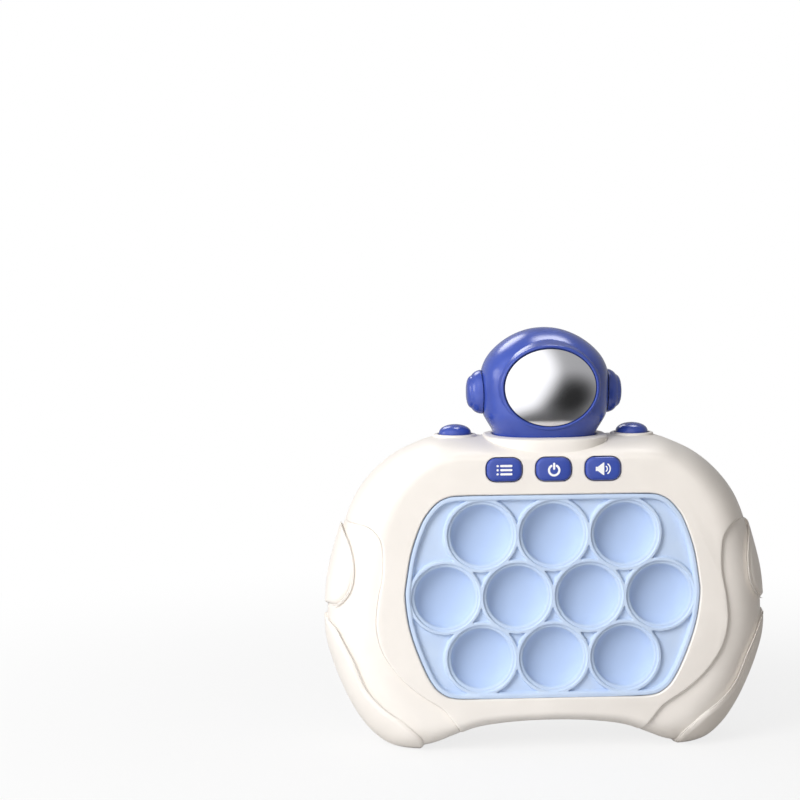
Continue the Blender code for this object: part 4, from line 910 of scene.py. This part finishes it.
# Helmet. Two rounded moulded halves of blue plastic that meet at the ears. The front half has a
# raised round frame for the visor, and the open mouth slides into the neck. Its egg shape, squarer
# in front than behind, isn't one that edit-mode tools give, so it is skinned from level sections.
HELMET_Z, HELMET_HEIGHT, HELMET_WALL = PLATFORM_Z - 0.0030, 0.0453, 0.0020
HELMET_SIDE = ((0.807, 0.0), (0.807, 0.085), (0.84, 0.12), (0.90, 0.175), (0.956, 0.235),
               (0.985, 0.31), (1.0, 0.42), (1.0, 0.52), (0.992, 0.60), (0.965, 0.665),
               (0.905, 0.735), (0.815, 0.80), (0.70, 0.86), (0.57, 0.911), (0.43, 0.951),
               (0.29, 0.979), (0.16, 0.994), (0.04, 1.0))
VISOR_WIDE, VISOR_HIGH = 0.0178, 0.0150
VISOR_Z = HELMET_Z + 0.0226
FRAME_Y = PART_Y - HELMET_FRONT + 0.0024
SEAT_Y = FRAME_Y + 0.0020


def helmet_body(name, growth):
    """The helmet's closed form, grown or shrunk. A shrunk one runs on below the mouth."""
    side = [Vector(point) for point in HELMET_SIDE[:2]]
    side += smooth_line(HELMET_SIDE[1:], 5, closed=False)[1:]
    rings = [egg(share * HELMET_HALF_WIDTH + growth, share * HELMET_FRONT + growth,
                 share * HELMET_BACK + growth, HELMET_Z + rise * (HELMET_HEIGHT + growth))
             for share, rise in side if share * HELMET_BACK + growth > 0.0005]
    if growth < 0:
        rings[0] = [(x, y, z - PAST) for x, y, z in rings[0]]
    return skin(name, rings)


def visor_edge(growth):
    angles = [math.tau * index / 120 for index in range(120)]
    return [((VISOR_WIDE + growth) * math.sin(angle),
             VISOR_Z + (VISOR_HIGH + growth) * math.cos(angle)) for angle in angles]


def visor_stack(name, steps):
    return stacked(name, visor_edge, [(growth, FRAME_Y + level) for growth, level in steps])


helmet_front = helmet_body("helmet_front_half", 0.0)
carve(helmet_front, "UNION", visor_stack("visor_frame", (
    (0.0040, 0.0110), (0.0037, 0.0085), (0.0031, 0.0060), (0.0024, 0.0038), (0.0020, 0.0022),
    (0.0018, 0.0012), (0.0016, 0.0005), (0.0011, 0.0001), (0.0007, 0.0))))
carve(helmet_front, "DIFFERENCE", helmet_body("helmet_room", -HELMET_WALL),
      visor_stack("visor_recess", ((GAP, 0.0020), (GAP, 0.0008), (GAP + 0.0002, 0.0003),
                                   (GAP + 0.0006, -0.0001), (GAP + 0.0006, -0.010))),
      stacked("visor_opening", visor_edge, ((-0.0020, FRAME_Y), (-0.0020, PART_Y + 0.0031))),
      box_tool("behind", (-FAR, PART_Y - 0.00002, -FAR), (FAR, FAR, FAR)))
helmet_back = helmet_body("helmet_back_half", 0.0)
carve(helmet_back, "DIFFERENCE", helmet_body("helmet_room", -HELMET_WALL),
      box_tool("before", (-FAR, -FAR, -FAR), (FAR, PART_Y + GAP, FAR)))
for half, node in ((helmet_front, "helmet_front"), (helmet_back, "helmet_back")):
    smooth_finish(half, 38, blue)
    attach(half, "head")
    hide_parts(node)

# Visor. A domed plastic lens, vacuum plated like a mirror, glued into the helmet's frame. It starts
# as a ball that is flattened. Its crown is cut off and extruded back to the seat as a straight edge.
visor_finish, place, link = new_finish("silver_plating", colour(236, 236, 240), 0.2, Metallic=1.0)
clouds, fine = place.noise(0.010, 2.0), place.noise(0.0008, 2.0)
link("Roughness", clouds * 0.06 + 0.17)
link("Normal", fine.bump(0.000004, 0.4))
CROWN, VISOR_EDGE = 0.0036, 0.0013
VISOR_FRONT_Y = SEAT_Y - GAP - VISOR_EDGE
bpy.ops.object.select_all(action="DESELECT")
bpy.ops.mesh.primitive_uv_sphere_add(segments=128, ring_count=144, radius=1.0,
                                     rotation=(math.pi / 2, 0.0, 0.0))
visor = bpy.context.object
visor.name = "plated_visor"
ball = (VISOR_WIDE ** 2 + CROWN ** 2) / (2 * CROWN)
visor.scale = (ball, ball * VISOR_HIGH / VISOR_WIDE, ball)
visor.location = (0.0, VISOR_FRONT_Y - CROWN + ball, VISOR_Z)
bpy.ops.object.transform_apply(location=True, rotation=True, scale=True)
bpy.ops.object.mode_set(mode="EDIT")
bpy.ops.mesh.select_all(action="SELECT")
bpy.ops.mesh.bisect(plane_co=(0.0, VISOR_FRONT_Y, VISOR_Z), plane_no=(0.0, 1.0, 0.0),
                    use_fill=True, clear_outer=True)
bpy.ops.mesh.select_all(action="DESELECT")
bpy.ops.object.mode_set(mode="OBJECT")
for face in visor.data.polygons:
    face.select = len(face.vertices) > 8 and face.normal.y > 0.9
bpy.ops.object.mode_set(mode="EDIT")
bpy.ops.mesh.extrude_region_move(TRANSFORM_OT_translate={"value": (0.0, VISOR_EDGE, 0.0)})
bpy.ops.mesh.select_all(action="SELECT")
bpy.ops.mesh.normals_make_consistent(inside=False)
bpy.ops.object.mode_set(mode="OBJECT")
smooth_finish(visor, 40, visor_finish)
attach(visor, "head")
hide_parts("visor")


# Ear caps. Two round stepped caps of the helmet's blue plastic, glued over its seam. Each is a disc
# that is extruded outwards in steps, and its inner end is cut to the helmet's side.
def grown_turning(name, profile, centre, axis, count=64):
    """A turned form: a filled circle that is extruded along an axis and resized, step by step."""
    turn = {"X": (0.0, math.pi / 2, 0.0), "Y": (math.pi / 2, 0.0, 0.0), "Z": (0.0, 0.0, 0.0)}[axis]
    way = Vector({"X": (1, 0, 0), "Y": (0, 1, 0), "Z": (0, 0, 1)}[axis])
    (radius, level), middle = profile[0], Vector(centre)
    bpy.ops.object.select_all(action="DESELECT")
    bpy.ops.mesh.primitive_circle_add(vertices=count, radius=radius, fill_type="NGON",
                                      location=middle + way * level, rotation=turn)
    body = bpy.context.object
    body.name = name
    bpy.ops.object.transform_apply(location=True, rotation=True, scale=True)
    bpy.ops.object.mode_set(mode="EDIT")
    bpy.ops.mesh.select_all(action="SELECT")
    for next_radius, next_level in profile[1:]:
        bpy.ops.mesh.extrude_region_move(TRANSFORM_OT_translate={"value": way * (next_level - level)})
        share = next_radius / radius
        bpy.ops.transform.resize(value=tuple(1.0 if part else share for part in way),
                                 center_override=middle + way * next_level)
        radius, level = next_radius, next_level
    bpy.ops.mesh.select_all(action="SELECT")
    bpy.ops.mesh.normals_make_consistent(inside=False)
    bpy.ops.object.mode_set(mode="OBJECT")
    return body


EAR_Z, EAR_RADIUS, EAR_REACH = HELMET_Z + 0.0197, 0.0088, 0.0056
EAR_STEPS = ((1.0, -1.0), (1.0, -0.1), (0.988, 0.08), (0.955, 0.25), (0.905, 0.40), (0.84, 0.52),
             (0.78, 0.60), (0.745, 0.64), (0.725, 0.70), (0.69, 0.78), (0.62, 0.87), (0.51, 0.94),
             (0.37, 0.985), (0.2, 1.0), (0.02, 1.0))
for name, node, side in (("left_ear", "left_ear_cap", -1), ("right_ear", "right_ear_cap", 1)):
    steps = [(share * EAR_RADIUS, side * reach * EAR_REACH) for share, reach in EAR_STEPS]
    ear = grown_turning(name, steps, (side * HELMET_HALF_WIDTH, PART_Y, EAR_Z), "X")
    carve(ear, "DIFFERENCE", helmet_body("helmet_space", GAP))
    smooth_finish(ear, 50, blue)
    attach(ear, "head")
    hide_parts(node)

# Shoulder buttons. Two blue domes with finger flutes round their foot. Each stands on a flange that
# keeps it in its boss, and on a stem that reaches down to its spring and switch.
SHOULDER_FLANGE_Z = GUIDE_Z - GAP - 0.0014
SHOULDER_FLANGE, STEM_RADIUS = DOME_RADIUS + 0.0014, 0.0022
DOME_STEPS = ((1.0, 0.0), (1.0, 0.08), (0.985, 0.24), (0.94, 0.41), (0.86, 0.57), (0.75, 0.71),
              (0.62, 0.82), (0.47, 0.905), (0.31, 0.96), (0.15, 0.99), (0.02, 1.0))
for name, node, side in (("left_dome", "left_shoulder_button", -1),
                         ("right_dome", "right_shoulder_button", 1)):
    low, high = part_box(node)
    profile = [(STEM_RADIUS, low.z), (STEM_RADIUS, SHOULDER_FLANGE_Z),
               (SHOULDER_FLANGE, SHOULDER_FLANGE_Z), (SHOULDER_FLANGE, GUIDE_Z - GAP),
               (DOME_RADIUS, GUIDE_Z - GAP)]
    profile += [(share * DOME_RADIUS, PLATFORM_Z + rise * 0.0042) for share, rise in DOME_STEPS]
    dome = grown_turning(name, profile, (side * SHOULDER_X, PART_Y, 0.0), "Z", 72)
    for face in dome.data.polygons:
        x, y, z = face.center
        bearing = math.degrees(math.atan2(y - PART_Y, x - side * SHOULDER_X)) % 40
        face.select = (PLATFORM_Z + 0.0003 < z < PLATFORM_Z + 0.0026 and len(face.vertices) < 6
                       and 10 < bearing < 25)
    activate(dome)
    bpy.ops.object.mode_set(mode="EDIT")
    bpy.ops.mesh.inset(thickness=0.0002, use_even_offset=True)
    bpy.ops.transform.shrink_fatten(value=-0.0004)
    bpy.ops.object.mode_set(mode="OBJECT")
    smooth_finish(dome, 50, blue)
    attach(dome, node)
    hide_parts(node)

# Control keys. Three blue caps with crowned edges in the plate over the panel, each with two ears
# that hold it behind the plate and a stem that presses the contact mat.
KEY_FRONT_Y, KEY_BACK_Y = FACE_Y - 0.0010, INNER_FACE_Y + GAP + 0.0010
for name, node, column in (("menu_cap", "menu_key", -1), ("power_cap", "power_key", 0),
                           ("sound_cap", "sound_key", 1)):
    x = column * KEY_PITCH
    low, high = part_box(node)
    key = box_tool(name, (x - KEY_HALF_WIDTH, KEY_FRONT_Y, KEY_Z - KEY_HALF_HEIGHT),
                   (x + KEY_HALF_WIDTH, KEY_BACK_Y, KEY_Z + KEY_HALF_HEIGHT))
    bpy.context.tool_settings.mesh_select_mode = (False, True, False)
    for sweep, offset_size, segments in (("corners", KEY_CORNER, 10), ("crown", 0.0012, 6)):
        mesh = key.data
        for edge in mesh.edges:
            first, second = (mesh.vertices[corner].co for corner in edge.vertices)
            in_front = first.y < KEY_FRONT_Y + 1e-6 and second.y < KEY_FRONT_Y + 1e-6
            edge.select = in_front if sweep == "crown" else abs(first.y - second.y) > 1e-5
        for face in mesh.polygons:
            face.select = False
        for vertex in mesh.vertices:
            vertex.select = any(edge.select and vertex.index in edge.vertices for edge in mesh.edges)
        activate(key)
        bpy.ops.object.mode_set(mode="EDIT")
        bpy.ops.mesh.bevel(offset=offset_size, segments=segments, affect="EDGES", clamp_overlap=False)
        bpy.ops.object.mode_set(mode="OBJECT")
    bpy.context.tool_settings.mesh_select_mode = (True, False, False)
    carve(key, "UNION", box_tool("ears", (low.x, INNER_FACE_Y + GAP, KEY_Z - 0.0028),
                                 (high.x, KEY_BACK_Y - 0.00003, KEY_Z + 0.0028)),
          round_hole("stem", x, KEY_Z, STEM_RADIUS, KEY_BACK_Y - 0.0005, high.y, "Y"))
    smooth_finish(key, 35, blue)
    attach(key, node)
    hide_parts(node)

# White signs on the keys: a list, a power sign and a sounder with two waves, printed in thick ink
# that stands up a little from the caps. Edit-mode tools don't draw arcs of even width, so the strokes
# are skinned from outlines with round ends, and joined to one piece on each key.
ink, place, link = new_finish("white_ink", colour(250, 250, 250), 0.5)
link("Roughness", place.noise(0.0008, 2.0) * 0.2 + 0.4)
link("Base Color", place.noise(0.002, 2.0).blend(colour(252, 252, 252), colour(244, 245, 248)))
INK_LOW_Y, INK_HIGH_Y, INK_WIDTH = KEY_FRONT_Y + 0.0002, KEY_FRONT_Y - 0.00006, 0.00085


def stroke(points, width):
    """A flat line of ink with round ends along (across, up) points."""
    points = [Vector(point) for point in points]
    ways = [(after - before).normalized() for before, after in zip(points, points[1:])]
    body = []
    for point, before, after in zip(points[1:-1], ways, ways[1:]):
        along = ((before + after) / 2).normalized()
        body.append((point, Vector((-along.y, along.x)) * width / 2))
    caps = []
    for end, way in ((points[-1], ways[-1]), (points[0], -ways[0])):
        side, angles = Vector((-way.y, way.x)), [math.pi * step / 8 for step in range(9)]
        caps.append([end + (side * math.cos(angle) + way * math.sin(angle)) * width / 2
                     for angle in angles])
    return ([point + out for point, out in body] + caps[0]
            + [point - out for point, out in reversed(body)] + caps[1])


def arc(x, z, radius, start, end, count=24):
    angles = [math.radians(start + (end - start) * step / count) for step in range(count + 1)]
    return [(x + radius * math.sin(angle), z + radius * math.cos(angle)) for angle in angles]


signs = {
    "menu_key": [stroke([(start, level), (end, level)], INK_WIDTH)
                 for start, end in ((-0.0013, 0.0026), (-0.00272, -0.00268))
                 for level in (0.0016, 0.0, -0.0016)],
    "power_key": [stroke(arc(0.0, -0.0003, 0.0020, 32, 328), INK_WIDTH),
                  stroke([(0.0, 0.0022), (0.0, 0.0003)], INK_WIDTH)],
    "sound_key": [[Vector(point) for point in (
        (-0.0030, 0.0008), (-0.0022, 0.0008), (-0.0001, 0.0024), (0.0003, 0.0024), (0.0003, -0.0024),
        (-0.0001, -0.0024), (-0.0022, -0.0008), (-0.0030, -0.0008))],
        stroke(arc(0.0003, 0.0, 0.0012, 40, 140, 10), 0.00045),
        stroke(arc(0.0003, 0.0, 0.0023, 38, 142, 14), 0.0005)]}
for node, column in (("menu_key", -1), ("power_key", 0), ("sound_key", 1)):
    middle = Vector((column * KEY_PITCH, KEY_Z))
    strokes = [skin("stroke", [upright([point + middle for point in outline], y)
                               for y in (INK_LOW_Y, INK_HIGH_Y)]) for outline in signs[node]]
    bpy.ops.object.select_all(action="DESELECT")
    for piece in strokes:
        piece.select_set(True)
    bpy.context.view_layer.objects.active = strokes[0]
    bpy.ops.object.join()
    sign = bpy.context.object
    sign.name = node.replace("key", "sign")
    smooth_finish(sign, 30, ink)
    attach(sign, node)

# Battery cover. A flat cream lid with a soft edge, finger ridges and a tab for its one screw. It
# lifts straight off the back, over three cells in a row, and is skinned from its seat's outline.
lid = stacked("battery_lid", door_edge, ((0.0, DOOR_Y), (0.0, BACK_Y - 0.0004),
                                         (-0.0001, BACK_Y - 0.00015), (-0.0004, BACK_Y)))
carve(lid, "UNION", round_hole("tab_disc", 0.0, TAB_Z, 0.0038, DOOR_Y - 0.0010, BACK_Y - 0.0002, "Y"))
ridges = []
for index in range(5):
    level = BAY_Z - BAY_HALF_HEIGHT + 0.0030 + index * 0.0022
    ridges.append(stacked("ridge_groove", lambda growth: rounded_box_outline(
        0.0, level, 0.0100 + growth, 0.0004 + growth, 0.00039 + growth, 5), (
            (0.0, BACK_Y - 0.0005), (0.0003, BACK_Y + 0.0002))))
carve(lid, "DIFFERENCE",
      round_hole("lid_shank", 0.0, TAB_Z, SHANK_HOLE, DOOR_Y - PAST, BACK_Y, "Y"),
      round_hole("lid_head", 0.0, TAB_Z, HEAD_HOLE, BACK_Y - 0.0019, BACK_Y + PAST, "Y"), *ridges)
smooth_finish(lid, 32, cream)
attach(lid, "battery_cover")
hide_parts("battery_door")

# Screws. Pan heads of zinc-plated steel with a cross recess: four at the bottom of the case's towers
# and one in the lid's tab. Each is a disc that is extruded in steps.
steel, place, link = new_finish("plated_steel", colour(190, 192, 196), 0.32, Metallic=1.0)
brushed, specks = place.noise(0.0006, 3.0), place.noise(0.003, 2.0)
link("Roughness", brushed * 0.18 + 0.24)
link("Base Color", specks.blend(colour(196, 198, 202), colour(172, 172, 170)))
link("Normal", brushed.bump(0.00001, 0.4))
for number, (x, z) in list(enumerate(SCREW_PLACES, 1)) + [(5, (0.0, TAB_Z))]:
    node = f"case_screw_{number}" if number < 5 else "door_screw"
    low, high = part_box(node)
    seat = high.y - 0.0016
    screw = grown_turning(f"pan_screw_{number}", [
        (0.0007, low.y), (0.0013, low.y + 0.0012), (0.0013, seat + GAP), (0.0025, seat + GAP),
        (0.0025, high.y - 0.0007), (0.0023, high.y - 0.0003), (0.0017, high.y - 0.00005),
        (0.0009, high.y)], (x, 0.0, z), "Y", 40)
    for name, wide, high_up, deep_in in (("slot_a", 0.0015, 0.00028, 0.0008),
                                         ("slot_b", 0.00028, 0.0015, 0.00081)):
        carve(screw, "DIFFERENCE", box_tool(name, (x - wide, high.y - deep_in, z - high_up),
                                            (x + wide, high.y + 0.001, z + high_up)))
    smooth_finish(screw, 35, steel)
    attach(screw, frame["nodes"][node]["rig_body"])
    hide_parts(node)

# Inner pieces keep their CAD forms, and get the finish of what they are made of: green boards with
# their traces, white and black plastic, lamp resin, and cells in a dark wrap with a copper band.
board_green, place, link = new_finish("circuit_board", colour(28, 96, 56), 0.45)
weave, traces = place.noise(0.0008, 2.0), place.node(
    "ShaderNodeTexVoronoi", {"Vector": place, "Scale": 260.0}, feature="DISTANCE_TO_EDGE")
link("Base Color", traces.within(0.03, 0.07).blend(colour(44, 128, 78), colour(24, 86, 50)))
link("Roughness", weave * 0.2 + 0.35)
link("Normal", traces.within(0.0, 0.08).bump(0.00003, 0.4))
white_plastic, place, link = new_finish("white_inner_plastic", colour(226, 226, 222), 0.5)
clouds, fine = place.noise(0.006, 3.0), place.noise(0.0006, 2.0)
link("Base Color", clouds.blend(colour(230, 230, 226), colour(218, 218, 213)))
link("Roughness", clouds * 0.15 + 0.42)
link("Normal", fine.bump(0.00001, 0.4))
black_plastic, place, link = new_finish("black_plastic", colour(34, 34, 36), 0.45)
clouds, fine = place.noise(0.004, 3.0), place.noise(0.0005, 2.0)
link("Base Color", clouds.blend(colour(38, 38, 40), colour(28, 28, 30)))
link("Roughness", clouds * 0.2 + 0.38)
link("Normal", fine.bump(0.00002, 0.4))
lamp_resin, place, link = new_finish("lamp_resin", colour(240, 232, 190), 0.25)
clouds = place.noise(0.0015, 2.0)
link("Base Color", clouds.blend(colour(244, 238, 205), colour(226, 214, 160)))
link("Roughness", clouds * 0.15 + 0.2)
cell_wrap, place, link = new_finish("cell_wrap", colour(60, 66, 78), 0.35)
distance = place.reckon("ABSOLUTE", place.axis("X"))
bare, band = distance.within(0.0253, 0.0255), distance.within(0.0180, 0.0182)
wrapped = band.blend(colour(52, 58, 70), colour(176, 132, 84))
link("Base Color", bare.blend(wrapped, colour(205, 206, 208)))
link("Metallic", bare)
link("Roughness", place.noise(0.003, 2.0) * 0.15 + 0.26)
finishes = {"board": board_green, "switch": black_plastic, "speaker": black_plastic,
            "led": lamp_resin, "battery_cell": cell_wrap, "spring": steel, "contact": steel,
            "screw": steel, "mat": white_plastic, "frame": white_plastic, "plunger": white_plastic}
for node, body in sorted(frame["nodes"].items()):
    finish = next((finish for part, finish in finishes.items() if part in node and not (
        part == "board" and "screw" in node)), cream)
    for slot in body.material_slots:
        slot.material = finish

low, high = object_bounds()
